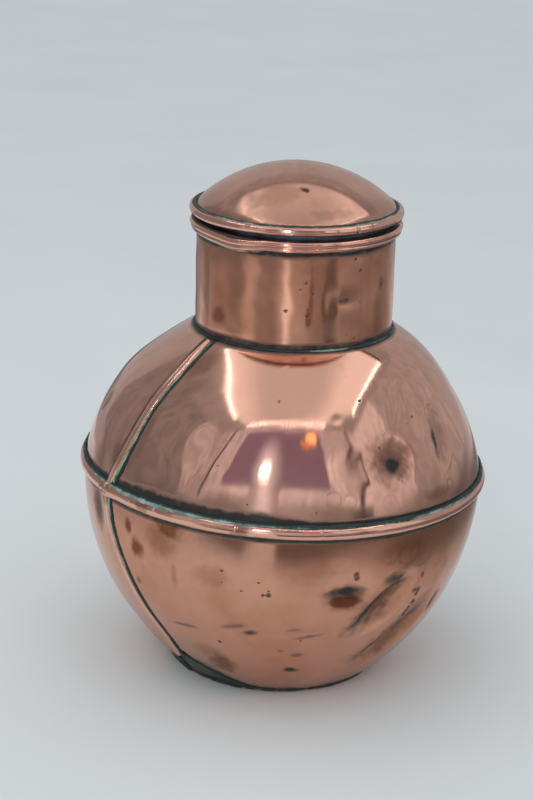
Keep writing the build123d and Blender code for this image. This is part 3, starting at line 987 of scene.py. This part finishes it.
def seam_strip(name, outline, left, low, high, warp, half, seed):
    """Flat-backed strip with a crease along it, half is half its width."""
    points, across, out, _, height = seam_line(outline, left, low, high, 0.0, 0.0, SEAM_STEPS)
    shape = np.linspace(-1, 1, 30)
    crown = 1.5 * np.sqrt(np.clip(1 - shape**2, 0, 1)) ** 0.7
    crown -= 0.38 * np.exp(-(((shape + 0.05) / 0.13) ** 2))
    section = np.concatenate(
        [np.stack([shape * half, crown], -1), np.array([[half * 0.9, -0.6], [-half * 0.9, -0.6]])]
    )
    swell = 1 + 0.04 * ripple(points, 22, seed) + 0.02 * ripple(points, 8, seed + 1)
    drift = 0.2 * ripple(points, 40, seed + 2)
    taper = 1 - 0.35 * smooth(high - 7, high, height)
    mesh = (
        points[:, None]
        + across[:, None] * (section[:, 0] * (swell * taper)[:, None] + drift[:, None])[..., None]
        + out[:, None] * (section[:, 1] * swell[:, None])[..., None]
    )
    mesh = warp(mesh, height[:, None])
    grime_and_shade = 0.9 * (1 - smooth(0.05, 0.55, section[:, 1] + 0.12 * ripple(mesh, 6, seed + 3)))
    crease = 0.45 * np.exp(-((((section[:, 0] / half) + 0.05) / 0.1) ** 2)) * (section[:, 1] > 0)
    grime_and_shade = np.maximum(grime_and_shade, crease[None, :])
    rust = 0.35 * smooth(0.4, 1.0, ripple(mesh, 16, seed + 4))
    v = np.broadcast_to(section_length(section[None]) * MM, mesh.shape[:2])
    u = np.broadcast_to(np.linspace(0, 1, SEAM_STEPS)[:, None] * (high - low) * MM, mesh.shape[:2])
    piece = grid_piece(name, mesh, False, True, np.stack([u, v], -1), {"grime_and_shade": grime_and_shade, "rust": rust})
    return outward(piece)


def seams():
    look = verdigris("verdigris seams", (0.16, 0.36, 0.25, 1), (0.36, 0.55, 0.43, 1))
    bead = (WAIST_BEAD_HIGH[2] - WAIST_BEAD_LOW[2]) / 2
    # Outline, limits, way to follow the neck, half width and seed.
    spans = {
        "upper": (SHOULDER, WAIST_HEIGHT + bead - 0.6, SHOULDER_HEIGHT - 1.2, neck_pull, SEAM_HALF, 50),
        "lower": (BELLY, 2.5, WAIST_HEIGHT - bead + 0.4, stay, LOWER_SEAM_HALF, 57),
    }
    for level, (outline, low, high, warp, half, level_seed) in spans.items():
        for side in ("left", "right"):
            left = side == "left"
            seed = level_seed + (180 if left else 0)
            foot = LEFT_STRIP_FOOT if left and level == "lower" else low
            strip = seam_strip(f"{level}_seam_strip_{side}", outline, left, foot, high, warp, half, seed)
            settle(strip, "can", "beading", [f"{level}_seam_bead_{side}"], BEAD)
            for edge, end in (("front", foot), ("rear", low)):
                name = f"{level}_seam_crust_{side}_{edge}"
                towards = 1 if (edge == "front") == left else -1
                seam_crust(name, look, outline, left, end, high, warp, half, edge == "front", towards, seed)


def seam_crust(name, look, outline, left, low, high, warp, half, front, towards, seed):
    """Crust along one edge of a strip: thick and mint on the front one. towards is +1 or -1 round the can."""
    wide = 1.05 if front else 0.5
    offset = towards * (half + 0.6 * wide)
    points, across, out, _, height = seam_line(outline, left, low, high, offset, 0.1, SEAM_CRUST_STEPS)
    points = warp(points[:, None], height[:, None])[:, 0]
    near_waist = 1 - smooth(3, 34, np.abs(height - WAIST_HEIGHT))
    mint = (0.75 + 0.5 * near_waist) if front else 0.25 + 0 * height
    grown = wide * (1 + 0.6 * near_waist * front)
    # The mint lies against the strip.
    mint_side = 125 if towards > 0 else 55
    frames = (points, across, out)
    crust(name, "can", [], look, frames, grown, 0.5, seed + towards * 3 + 20, mint, mint_side, closed=False)


# ---------------------------------------------------------------- neck
NECK_STEPS = 90
NECK_INSIDE_STEPS = 20
NECK_LAP = 176.4  # edge of the neck's lapped seam
KNOCK_THETA = 200  # the rim is knocked down and out here
KNOCK_SPREAD = 13


def neck_sheet():
    foot, top = NECK_LOW[2], RIM_TOP - 0.4
    up = np.linspace(foot, top, NECK_STEPS)
    down = np.linspace(top, foot, NECK_INSIDE_STEPS)
    height = np.concatenate([up, down])[None, :]
    theta = EVEN_THETA[:, None]
    points, normals = NECK.at(theta, height)
    sway = 0.22 * ripple(points * [1, 1, 0.45], 24, 61) + 0.05 * ripple(points, 11, 62)
    hold = smooth(0, 6, height - SHOULDER_HEIGHT) * smooth(0, 8, RIM_LOW[2] - height)
    past = wrap(theta - NECK_LAP)
    lap = 0.4 * smooth(-0.4, 0.1, past) * (1 - smooth(5, 9, past)) * smooth(2, 4, height - SHOULDER_HEIGHT)
    push = (dented(NECK, theta, height, NECK_DENTS) - sway) * hold - lap
    push[:, NECK_STEPS:] = SHEET
    moved = askew(points - normals * push[..., None])
    grime_and_shade, rust = stains_and_shade(NECK, theta, height, NECK_MARKS, (), 63)
    under_rim = RIM_LOW[2] - 1.0 - height
    rim = joint_grime(under_rim, 2.3, 0.95, points, 64)
    wide = joint_grime(under_rim, 8, 0.25, points, 65)
    low = joint_grime(height - SHOULDER_HEIGHT - 2.4, 1.0, 0.9, points, 66)
    line = 0.95 * np.exp(-((past + 0.5) / 0.5) ** 2) * np.ones_like(grime_and_shade)
    grime_and_shade = np.maximum.reduce([grime_and_shade, rim, wide, low, line])
    u = np.broadcast_to(np.radians(theta) * NECK_RADIUS * MM, points.shape[:2])
    v = np.broadcast_to(height * MM, points.shape[:2])
    attributes = {"grime_and_shade": grime_and_shade, "rust": rust}
    piece = grid_piece("neck_sheet", moved, True, True, np.stack([u, v], -1), attributes)
    line_inside(piece, points.shape[1], NECK_STEPS)
    skin = copper("copper neck", NECK, NECK_PITS, 0.8, 0.11, tint=(0.93, 0.84, 0.76))
    settle(piece, "can", "copper", ["neck_tube"], skin, tinned("tinned neck", 0.3))


def neck_rim_edit(theta, sections):
    """Knocks the rim down and out at the front left, and up a little beside that."""
    knock = bell(theta, KNOCK_THETA, KNOCK_SPREAD)
    out = sections.copy()
    out[..., 1] -= (1.0 * knock)[:, None]
    out[..., 0] += (0.5 * knock)[:, None]
    out[..., 1] += (0.3 * bell(theta, 218, 5))[:, None]
    return out


def neck_rim():
    roll, lip = 1.55, 1.05
    upper = lobe((roll, 3.35), roll, 170, -62, 26)
    lower = lobe((lip + 0.35, 1.05), lip, 55, -165, 20)
    section = np.concatenate([upper, lower])
    piece = roll_piece(
        "neck_rim_roll", section, NECK_RADIUS + 0.05, RIM_LOW[2], True, 0.04, 71, neck_rim_edit
    )
    settle(piece, "can", "beading", ["neck_rim_bead"], BEAD)
    frames = ring_frames(NECK_RADIUS + 0.6, RIM_LOW[2] - 0.1, -35, True)
    frames[0][:, 2] -= bell(RING_THETA, KNOCK_THETA, KNOCK_SPREAD)
    left = bell(RING_THETA, 194, 18)
    mint = 0.12 + 1.1 * left + 0.5 * bell(RING_THETA, 262, 7)
    look = verdigris("verdigris neck rim")
    wide = 0.75 + 0.8 * left
    crust("neck_rim_crust", "can", ["neck_rim_solder_ring"], look, frames, wide, 0.7, 72, mint, 90)
    frames = ring_frames(NECK_RADIUS + 0.45, SHOULDER_HEIGHT + 0.35, 48, True)
    mint = 0.1 + 0.9 * bell(RING_THETA, 253, 11) + 0.3 * bell(RING_THETA, 300, 20)
    look = verdigris("verdigris neck foot")
    wide = 0.75 + 0.35 * bell(RING_THETA, 285, 20)
    crust("neck_foot_crust", "can", ["neck_solder_ring"], look, frames, wide, 0.6, 73, mint, 120)


# ---------------------------------------------------------------- base
PLATE_SHEET = 1.0
PLATE_RIM_WIDTH = 9.0


def base_rim():
    """The plate's edge, which shows a little past the belly's foot."""
    edge = lobe((PLATE_RADIUS - PLATE_SHEET / 2, PLATE_SHEET / 2), PLATE_SHEET / 2, -90, 90, 9)
    inner = BASE_RADIUS - PLATE_RIM_WIDTH
    section = np.concatenate([edge, np.array([[inner, PLATE_SHEET], [inner, 0.0]])])
    sections = np.repeat(section[None], AROUND, axis=0)
    rim = sections[..., 0] > BASE_RADIUS - 5
    middle = ring_points(EVEN_THETA, sections, 0, 0)
    sections[..., 0] += rim * (0.18 * ripple(middle, 24, 81) + 0.08 * ripple(middle, 6, 82))
    points = ring_points(EVEN_THETA, sections, 0, 0)
    grime_and_shade = 0.25 + 0.35 * smooth(0, 1, ripple(points, 14, 83)) + 0 * points[..., 0]
    rust = 0.3 * smooth(0.2, 1, ripple(points, 20, 84))
    uv = ring_uv(EVEN_THETA, sections, BASE_RADIUS)
    return outward(grid_piece("base_plate_rim", points, True, True, uv, {"grime_and_shade": grime_and_shade, "rust": rust}))


def base_pan():
    """The plate's middle: a shallow pan that rises a hair, so that the can stands on its rim."""
    around = 180
    reach = np.linspace(0.05, BASE_RADIUS - PLATE_RIM_WIDTH + 0.1, 24)
    under = 0.35 * (1 - (reach / reach[-1]) ** 4)
    pan = np.concatenate([np.stack([reach, under], -1), np.stack([reach[::-1], under[::-1] + 0.9], -1)])
    pans = np.repeat(pan[None], around, axis=0)
    theta = np.linspace(0, 360, around, endpoint=False)
    points = ring_points(theta, pans, 0, 0)
    inward = reach[-1] - np.hypot(points[..., 0], points[..., 1])
    points[..., 2] += 0.06 * smooth(0, 10, inward) * ripple(points, 18, 85)
    points[..., 2] = np.maximum(points[..., 2], 0.0)
    u = np.broadcast_to(np.radians(theta)[:, None] * 0.02, points.shape[:2])
    uv = np.stack([u, pans[..., 0] * MM], -1)
    grime_and_shade = 0.2 + 0.5 * smooth(0, 1.2, ripple(points, 22, 86))
    attributes = {"grime_and_shade": grime_and_shade, "rust": 0.4 * grime_and_shade}
    return outward(grid_piece("base_plate_pan", points, True, True, uv, attributes))


def base():
    skin = copper("copper base", tarnish=0.8, roughness=0.22)
    rim = base_rim()
    for piece in (base_pan(), rim):
        settle(piece, "can", "copper", ["base_plate"], skin)
    front_left = bell(RING_THETA, 204, 22)
    frames = ring_frames(BASE_RADIUS + 1.5, 1.6, 38, False)
    frames[0][:, 2] += 0.9 * front_left
    look = verdigris("verdigris base")
    crust("base_crust", "can", ["base_solder_ring"], look, frames, 0.95 * (1 + front_left), 0.7, 87, 0.15, 60)
    smear()


def smear():
    """Solder smeared from the lower left strip's end down and round to the foot."""
    start = float(seam_angle(np.array(LEFT_STRIP_FOOT)))
    theta = np.linspace(start - 0.6, 234, 280)
    height = 1.8 + 12.0 * (1 - smooth(start, 230, theta))
    points, normals = BELLY.at(theta, height, 0.1)
    points = points - normals * (dented(BELLY, theta, height, BELLY_DENTS) * held(BELLY, height))[:, None]
    across = np.cross(normals, np.gradient(points, axis=0))
    across /= np.linalg.norm(across, axis=1, keepdims=True)
    wide = 0.6 + 2.2 * smooth(start - 0.6, start + 1.5, theta) * (1 - smooth(198, 232, theta))
    look = verdigris("verdigris smear", (0.05, 0.09, 0.07, 1), (0.10, 0.15, 0.12, 1))
    frames = (points, across, normals)
    crust("base_solder_smear", "can", [], look, frames, wide, 0.55, 88, 0.35, 90, closed=False)


# ---------------------------------------------------------------- lid
DOME_STEPS = 130
DOME_INSIDE_STEPS = 30


def lid_dome():
    there = np.linspace(1, 0.002, DOME_STEPS)
    back = np.linspace(0.002, 1, DOME_INSIDE_STEPS)
    slope = DOME.slopes[-1] * np.concatenate([there, back])
    height = np.interp(slope, DOME.slopes, DOME.height)[None, :]
    theta = EVEN_THETA[:, None]
    points, normals = DOME.at(theta, height)
    sway = 0.03 * ripple(points, 26, 91) + 0.008 * ripple(points, 12, 92)
    push = (dented(DOME, theta, height, DOME_DENTS) - sway) * smooth(0, 3, height - DOME_FOOT)
    push[:, DOME_STEPS:] = SHEET
    moved = askew(points - normals * push[..., None])
    grime_and_shade, rust = stains_and_shade(DOME, theta, height, DOME_MARKS, (), 93)
    over = (height - DOME_FOOT) * 1.4
    foot = joint_grime(over - 1.0, 0.9, 0.9, points, 94)
    wide = joint_grime(over - 1.2, 8, 0.25, points, 95)
    grime_and_shade = np.maximum.reduce([grime_and_shade, foot, wide])
    u = np.broadcast_to(np.radians(theta) * 0.03, points.shape[:2])
    v = np.broadcast_to(np.interp(slope, DOME.slopes, DOME.length)[None, :] * MM, points.shape[:2])
    attributes = {"grime_and_shade": grime_and_shade, "rust": rust}
    piece = grid_piece("lid_dome_sheet", moved, True, True, np.stack([u, v], -1), attributes)
    line_inside(piece, points.shape[1], DOME_STEPS)
    skin = copper("copper lid", DOME, DOME_PITS, 0.5, 0.085)
    settle(outward(piece), "lid", "copper", ["lid_dome"], skin, tinned("tinned dome", 0.2))


def lid_rim_edit(theta, sections):
    """A nick in the lid's roll."""
    out = sections.copy()
    dip = bell(theta, 267.5, 0.8)[:, None]
    out[..., 0] -= dip * 0.55 * smooth(0.2, 1.4, out[..., 0])
    return out


def lid_rim():
    """The rolled edge, creased where the sheet turns in, and the crust in the groove above it."""
    roll = (LID_ROLL_HIGH[2] - LID_ROLL_LOW[2]) / 2
    middle = (LID_ROLL_HIGH[2] + LID_ROLL_LOW[2]) / 2
    section = lobe((0, 0), roll, 180, -180, 40)[:-1]
    section[:, 1] *= 1.12
    section[:, 0] -= 0.10 * np.exp(-(((section[:, 1] - 0.55) / 0.18) ** 2)) * (section[:, 0] > 0)
    reach = LID_ROLL_HIGH[0] - roll
    piece = roll_piece("lid_rim_roll", section, reach, middle, True, 0.035, 96, lid_rim_edit)
    settle(piece, "lid", "beading", ["lid_rim_bead"], BEAD)
    frames = ring_frames(DOME_RADIUS + 0.25, DOME_FOOT + 0.5, 62, True)
    mint = 0.40 + 0.8 * bell(RING_THETA, 190, 34) + 0.7 * bell(RING_THETA, 288, 26)
    look = verdigris("verdigris lid")
    crust("lid_groove_crust", "lid", ["lid_solder_ring"], look, frames, 1.35, 0.7, 97, mint, 135)


def lid_collar():
    """A tinned band with its lower edge turned in and a brim under the dome."""
    outer = COLLAR_HIGH[0] - (DOME_RADIUS - NECK_RADIUS + SHEET + COLLAR_CLEARANCE)
    inner = outer - COLLAR_SHEET
    brim = DOME_RADIUS - 0.25
    low, high = COLLAR_LOW[2], COLLAR_HIGH[2]
    up = np.linspace(low + 0.4, high - 0.6, 40)
    profile = [(outer - 0.35, low)] + [(outer, z) for z in up]
    profile += [(brim, high - 0.6), (brim, high - 0.02), (inner, high - 0.02)]
    profile += [(inner, z) for z in reversed(up)] + [(inner + 0.2, low)]
    sections = np.repeat(np.array(profile)[None], AROUND, axis=0)
    points = ring_points(EVEN_THETA, sections, 0, 0)
    sway = 0.06 * ripple(points * [1, 1, 0.3], 16, 98)
    radial = points[..., :2] / np.linalg.norm(points[..., :2], axis=-1, keepdims=True)
    points[..., :2] += radial * (sway - 0.03)[..., None]
    uv = ring_uv(EVEN_THETA, sections, outer)
    piece = outward(grid_piece("lid_collar_tin", askew(points), True, True, uv))
    settle(piece, "lid", "tinned_copper", ["lid_collar"], tinned("tinned lid", 0.75))


# ---------------------------------------------------------------- stage, light and camera
def to_row(right, away, up):
    """A place given to the viewer's right, away from the viewer and up, in metres."""
    flat = VIEW_RIGHT * right + VIEW_AWAY * away
    return (flat[0], flat[1], up)


def glow(name, colour, strength, wrinkles=0.0, ends=0.0):
    """Plain light from a surface; cloth is wrinkled, and a panel's two ends may be brighter."""
    s = lit(name)
    level = strength
    if wrinkles:
        folds = s.noise(s.scaled(s.place, (1, 1, 0.45)), 22, 4, 0.6, 1.2)
        level = s.ramp(folds, 0.3, 0.7, strength * (1 - wrinkles), strength * (1 + wrinkles))
    if ends:
        level = s.ramp(s.maths("ABSOLUTE", rightward(s)), 0.10, 0.25, strength, strength + ends)
    return glow_with(s, colour, level)


def lit(name):
    """A black material, to be given light of its own."""
    s = Shader(name)
    s.set("Base Color", (0, 0, 0, 1))
    s.set("Specular IOR Level", 0.0)
    return s


def glow_with(s, colour, strength=1.0):
    s.set("Emission Color", colour)
    s.set("Emission Strength", strength)
    return s.material


def rightward(s, direction=VIEW_RIGHT):
    """How far a place is along a level direction, in metres."""
    return s.vector_maths("DOT_PRODUCT", s.place, (*direction, 0), output="Value")


def haze(name, centre, half, up, squash, bright, backing):
    """A soft glow on a plain ground: half is its half width, squash how much flatter than tall it is."""
    s = lit(name)
    away = s.maths("SUBTRACT", rightward(s), centre)
    height = s.new("ShaderNodeSeparateXYZ", {0: s.place}).outputs[2]
    rise = s.maths("MULTIPLY", s.maths("SUBTRACT", height, up), squash)
    reach = s.maths("SQRT", s.maths("ADD", s.maths("MULTIPLY", away, away), s.maths("MULTIPLY", rise, rise)))
    peak = s.maths("POWER", s.ramp(reach, 0, half, 1, 0), 1.6)
    return glow_with(s, s.mix(peak, backing, (bright * 0.90, bright, bright * 1.08, 1)))


def surround(name, stops):
    """Light that changes with the direction round the can: stops are degrees to the right and strengths."""
    s = lit(name)
    ahead = s.maths("MULTIPLY", rightward(s, VIEW_AWAY), -1)
    angle = s.maths("ARCTAN2", rightward(s), ahead)
    ramp = s.new("ShaderNodeValToRGB", {0: s.maths("MULTIPLY_ADD", angle, 0.5 / math.pi, 0.5)})
    elements = ramp.color_ramp.elements
    while len(elements) < len(stops):
        elements.new(0.5)
    # Blender keeps the stops sorted, so all are placed before any gets its colour.
    for element, (degrees, _) in zip(elements, stops):
        element.position = degrees / 360 + 0.5
    for element, (_, strength) in zip(elements, stops):
        element.color = (strength, strength, strength, 1)
    return glow_with(s, ramp.outputs[0])


def card(name, corners, material):
    """A flat reflector that only mirror-like surfaces see. Corners are to the right, away and up."""
    mesh = bpy.data.meshes.new(name)
    mesh.from_pydata([to_row(*c) for c in corners], [], [list(range(len(corners)))])
    mesh.materials.append(material)
    panel = placed(name, mesh)
    panel.visible_camera = False
    panel.visible_diffuse = False
    panel.visible_shadow = False
    panel.visible_transmission = False


def upright(away, right0, right1, up0, up1):
    """Corners of a panel that faces the can from the front or the back."""
    return [(right0, away, up0), (right1, away, up0), (right1, away, up1), (right0, away, up1)]


def sidelong(right, away0, away1, up0, up1):
    """Corners of a panel at the can's left or right."""
    return [(right, away0, up0), (right, away1, up0), (right, away1, up1), (right, away0, up1)]


def level(up, right0, right1, away0, away1):
    """Corners of a level panel."""
    return [(right0, away0, up), (right1, away0, up), (right1, away1, up), (right0, away1, up)]


def fold_strip(name, away, places, width, material):
    """A dark crease down a tent wall, through places given as right and up."""
    right, up = np.array(places).T
    corners = [(r - width / 2, away, u) for r, u in zip(right, up)]
    corners += [(r + width / 2, away, u) for r, u in zip(right[::-1], up[::-1])]
    card(name, corners, material)


# How bright the lowest part of the tent is, by the direction round the can.
LOW_WALLS = (
    (-180, 0.30), (-160, 0.12), (-146, 0.34), (-128, 0.36), (-118, 0.20), (-110, 0.36), (-84, 0.38),
    (-70, 0.25), (-57, 0.20), (-51, 0.50), (-44, 0.54), (-38, 0.26), (-22, 0.32), (-16, 0.48), (3, 0.48),
    (14, 0.42), (24, 0.32), (36, 0.28), (40, 0.10), (46, 0.08), (52, 0.28), (66, 0.20), (100, 0.20),
    (110, 0.12), (128, 0.26), (150, 0.52), (180, 0.35),
)
LOW_FRONT, LOW_SIDE = 0.17, 0.08  # how high that part is, in front and elsewhere
ROOM = (0.80, 0.66, 0.96)
ROOM_STRENGTH = 0.29
WHITE = (0.97, 0.985, 1.0, 1)
# The tent, in metres to the right, away from the viewer and up.
TENT_SIDE, TENT_FRONT, TENT_BACK, TENT_TOP = 0.46, -0.40, 0.45, 0.62


def light_tent():
    """A white tent with a light panel in its top, seen only in the metal."""
    tent_walls()
    tent_foot()
    tent_folds()
    opening()
    light_panel()
    # The cloth ends before the tent's front, and is in shade at the right.
    edge = glow("table edge", (0.60, 0.40, 0.46, 1), 0.15)
    card("cloth_edge_left", level(0.002, -0.20, -0.065, TENT_FRONT, -0.222), edge)
    card("cloth_edge_right", level(0.002, -0.005, 0.30, TENT_FRONT, -0.212), edge)
    card("floor_shade", level(0.0015, 0.13, TENT_SIDE, -0.3, TENT_BACK), floor_shade())


def tent_walls():
    cloth = {"left": glow("tent left", WHITE, 0.25, 0.2), "right": glow("tent right", WHITE, 0.40, 0.2)}
    near_cloth = glow("tent near cloth", WHITE, 0.56, 0.22)
    wisps = {
        "left": glow("tent wisps left", WHITE, 0.45, 0.3),
        "right": glow("tent wisps right", WHITE, 0.70, 0.2),
    }
    for name, x, deep in (("left", -TENT_SIDE, 0.12), ("right", TENT_SIDE, 0.30)):
        card(f"tent_{name}", sidelong(x, TENT_FRONT, TENT_BACK, 0, TENT_TOP), cloth[name])
        near, far, inner = TENT_FRONT, TENT_FRONT + deep, x * 0.995
        corners = [(inner, near, 0.10), (inner, far, 0.14), (inner, far, TENT_TOP), (inner, near, TENT_TOP)]
        card(f"tent_{name}_near", corners, wisps[name])
    back = upright(TENT_BACK, -TENT_SIDE, TENT_SIDE, 0, TENT_TOP)
    card("tent_back", back, glow("tent back", WHITE, 0.40, 0.1))
    roof = level(TENT_TOP, -TENT_SIDE, TENT_SIDE, TENT_FRONT, TENT_BACK)
    card("tent_roof", roof, glow("tent roof", WHITE, 0.32, 0.2))
    card("tent_front", upright(TENT_FRONT, -TENT_SIDE, 0, 0, TENT_TOP), wisps["left"])
    card("tent_front_right", upright(TENT_FRONT, 0, TENT_SIDE, 0, TENT_TOP), wisps["right"])
    card("tent_front_middle", upright(TENT_FRONT + 0.001, -0.36, 0.40, 0.2, TENT_TOP), near_cloth)
    sill = upright(TENT_FRONT + 0.002, -0.33, 0.36, 0.200, 0.232)
    card("tent_sill", sill, glow("tent sill", WHITE, 0.76, 0.10))


def tent_foot():
    """The tent's darker lowest part, all the way round."""
    look = surround("tent low", LOW_WALLS)
    card("low_front", upright(TENT_FRONT + 0.005, -TENT_SIDE, TENT_SIDE, 0, LOW_FRONT), look)
    card("low_back", upright(TENT_BACK - 0.005, -TENT_SIDE, TENT_SIDE, 0, LOW_SIDE), look)
    for name, x in (("left", -TENT_SIDE + 0.005), ("right", TENT_SIDE - 0.005)):
        card(f"low_{name}", sidelong(x, TENT_FRONT, TENT_BACK, 0, LOW_SIDE), look)


def tent_folds():
    fold = glow("tent fold", (0.6, 0.5, 0.5, 1), 0.12)
    places = [(-0.31, TENT_TOP), (-0.34, 0.4), (-0.35, 0.3), (-0.38, LOW_FRONT)]
    fold_strip("fold_left", TENT_FRONT + 0.004, places, 0.020, fold)
    places = [(0.37, TENT_TOP), (0.39, 0.5), (0.36, 0.4), (0.385, 0.3), (0.37, LOW_FRONT)]
    fold_strip("fold_right", TENT_FRONT + 0.004, places, 0.020, fold)
    turns = np.linspace(0, 6, 20)
    oval = [(0.28 + 0.055 * math.cos(a), TENT_FRONT + 0.003, 0.34 + 0.12 * math.sin(a)) for a in turns]
    card("pale_cloth", oval, glow("pale cloth", WHITE, 0.72, 0.3))


def opening():
    """The opening that the camera looks in through, with the lamps seen beyond it."""
    front = TENT_FRONT
    turn = 0.045
    corners = []
    for cx, cz, start in ((0.165, 0.54, 0), (-0.150, 0.54, 90), (-0.225, 0.262, 180), (0.185, 0.262, 270)):
        radius = turn if start < 180 else turn * 0.6
        for k in range(7):
            angle = math.radians(start + 15 * k)
            corners.append((cx + radius * math.cos(angle), front + 0.003, cz + radius * math.sin(angle)))
    card("opening", corners, glow("room", (*ROOM, 1), ROOM_STRENGTH))
    backing = (*(ROOM_STRENGTH * x for x in ROOM), 1)
    look = haze("lamp haze", -0.06, 0.085, 0.30, 0.30, 1.0, backing)
    card("lamp_haze", upright(front + 0.0045, -0.145, 0.025, 0.24, 0.57), look)
    look = haze("low haze", -0.06, 0.06, 0.10, 0.15, 1.15, (0.48, 0.48, 0.48, 1))
    card("low_haze", upright(front + 0.006, -0.12, 0.0, 0.0, 0.235), look)
    lamp = disc(-0.062, front + 0.007, 0.300, 0.018)
    card("front_lamp", lamp, glow("front lamp", (1, 1, 1, 1), 22))
    lamp = disc(0.150, front + 0.007, 0.525, 0.030)
    card("warm_lamp", lamp, glow("warm lamp", (1.0, 0.46, 0.14, 1), 3.0))
    lamp = disc(0.110, front + 0.0065, 0.475, 0.022)
    card("warm_lamp_low", lamp, glow("warm lamp low", (1.0, 0.42, 0.13, 1), 0.9))


def light_panel():
    """The panel in the tent's top, with bright sides and a row of small lamps."""
    top = TENT_TOP
    left, right, near, far = -0.275, 0.365, -0.362, 0.262
    left_end, right_end = near + 0.09, near + 0.11
    panel = glow("light panel", (1.0, 0.985, 0.96, 1), 0.60, ends=0.35)
    strip = glow("light strip", (1, 1, 1, 1), 7.0)
    dot = glow("light dot", (1, 1, 1, 1), 24.0)
    edge = glow("panel edge", (0.6, 0.5, 0.5, 1), 0.14)
    outline = [(left, far), (left, left_end), (-0.215, near), (0.235, near), (right, right_end), (right, far)]
    card("panel", [(x, y, top - 0.006) for x, y in outline], panel)
    card("panel_far_edge", level(top - 0.008, left, right, far - 0.02, far + 0.01), edge)
    for name, x, end in (("left", left, left_end), ("right", right, right_end)):
        card(f"panel_side_{name}", level(top - 0.010, x - 0.004, x + 0.004, end, far - 0.03), strip)
    lamps = 23
    for k in range(lamps):
        x = -0.205 + 0.43 * k / (lamps - 1)
        card(f"lamp_{k:02d}", level(top - 0.011, x - 0.0022, x + 0.0022, near - 0.004, near + 0.004), dot)


def floor_shade():
    """White that falls off to shade towards the right."""
    s = lit("floor shade")
    return glow_with(s, (1, 1, 1, 1), s.ramp(rightward(s), 0.13, 0.24, 0.50, 0.17))


def disc(right, away, up, radius):
    angles = [2 * math.pi * k / 24 for k in range(24)]
    return [(right + radius * math.cos(a), away, up + radius * math.sin(a)) for a in angles]


def floor():
    reach = 6.0
    corners = [(-reach, -reach, 0), (reach, -reach, 0), (reach, reach, 0), (-reach, reach, 0)]
    mesh = bpy.data.meshes.new("floor")
    mesh.from_pydata(corners, [], [(0, 1, 2, 3)])
    s = Shader("floor")
    tone = s.ramp(s.noise(s.place, 6, 3, 0.5), 0.2, 0.8)
    s.set("Base Color", s.mix(tone, (0.775, 0.815, 0.83, 1), (0.805, 0.845, 0.855, 1)))
    s.set("Roughness", 0.9)
    s.set("Specular IOR Level", 0.1)
    mesh.materials.append(s.material)
    placed("floor", mesh)


def studio_light():
    world = bpy.data.worlds.new("studio")
    bpy.context.scene.world = world
    world.use_nodes = True
    background = world.node_tree.nodes["Background"]
    background.inputs[0].default_value = (0.94, 0.965, 0.985, 1)
    background.inputs[1].default_value = 0.70
    aim = Vector((0, 0, 0.1))
    for name, place, size, power in (
        ("overhead", (-0.25, -0.15, 1.1), 1.0, 1.7),
        ("front_fill", (-0.35, -0.9, 0.6), 0.7, 1.1),
    ):
        lamp = bpy.data.lights.new(name, "AREA")
        lamp.shape = "SQUARE"
        lamp.size = size
        lamp.energy = power
        holder = placed(name, lamp)
        holder.location = Vector(to_row(*place))
        holder.rotation_euler = (aim - holder.location).to_track_quat("-Z", "Y").to_euler()
        holder.visible_glossy = False


def camera():
    elevation = math.radians(CAMERA_ELEVATION)
    azimuth = math.radians(CAMERA_AZIMUTH)
    level_reach = math.cos(elevation)
    back = Vector((math.sin(azimuth) * level_reach, -math.cos(azimuth) * level_reach, math.sin(elevation)))
    right = Vector((math.cos(azimuth), math.sin(azimuth), 0))
    look = Matrix((right, back.cross(right), back)).transposed().to_4x4()
    yaw, pitch, roll = (math.radians(x) for x in CAMERA_TURN)
    turn = Matrix.Rotation(yaw, 4, "Y") @ Matrix.Rotation(pitch, 4, "X") @ Matrix.Rotation(roll, 4, "Z")
    data = bpy.data.cameras.new("camera")
    data.lens = CAMERA_LENS
    data.sensor_width = 36
    data.clip_start = 0.01
    holder = placed("camera", data)
    holder.matrix_world = Matrix.Translation(CAMERA_TARGET + back * CAMERA_DISTANCE) @ look @ turn
    bpy.context.scene.camera = holder


BEAD = copper("copper beading", tarnish=0.25, roughness=0.12, scratch=0.6)

camera()
floor()
studio_light()
light_tent()
body_shells()
waist()
seams()
neck_sheet()
neck_rim()
base()
lid_dome()
lid_rim()
lid_collar()
for wire in ("neck_rim_wire", "lid_rim_wire"):
    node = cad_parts[wire]
    node.data.materials.clear()
    node.data.materials.append(iron())

bpy.context.scene.view_settings.view_transform = "Standard"
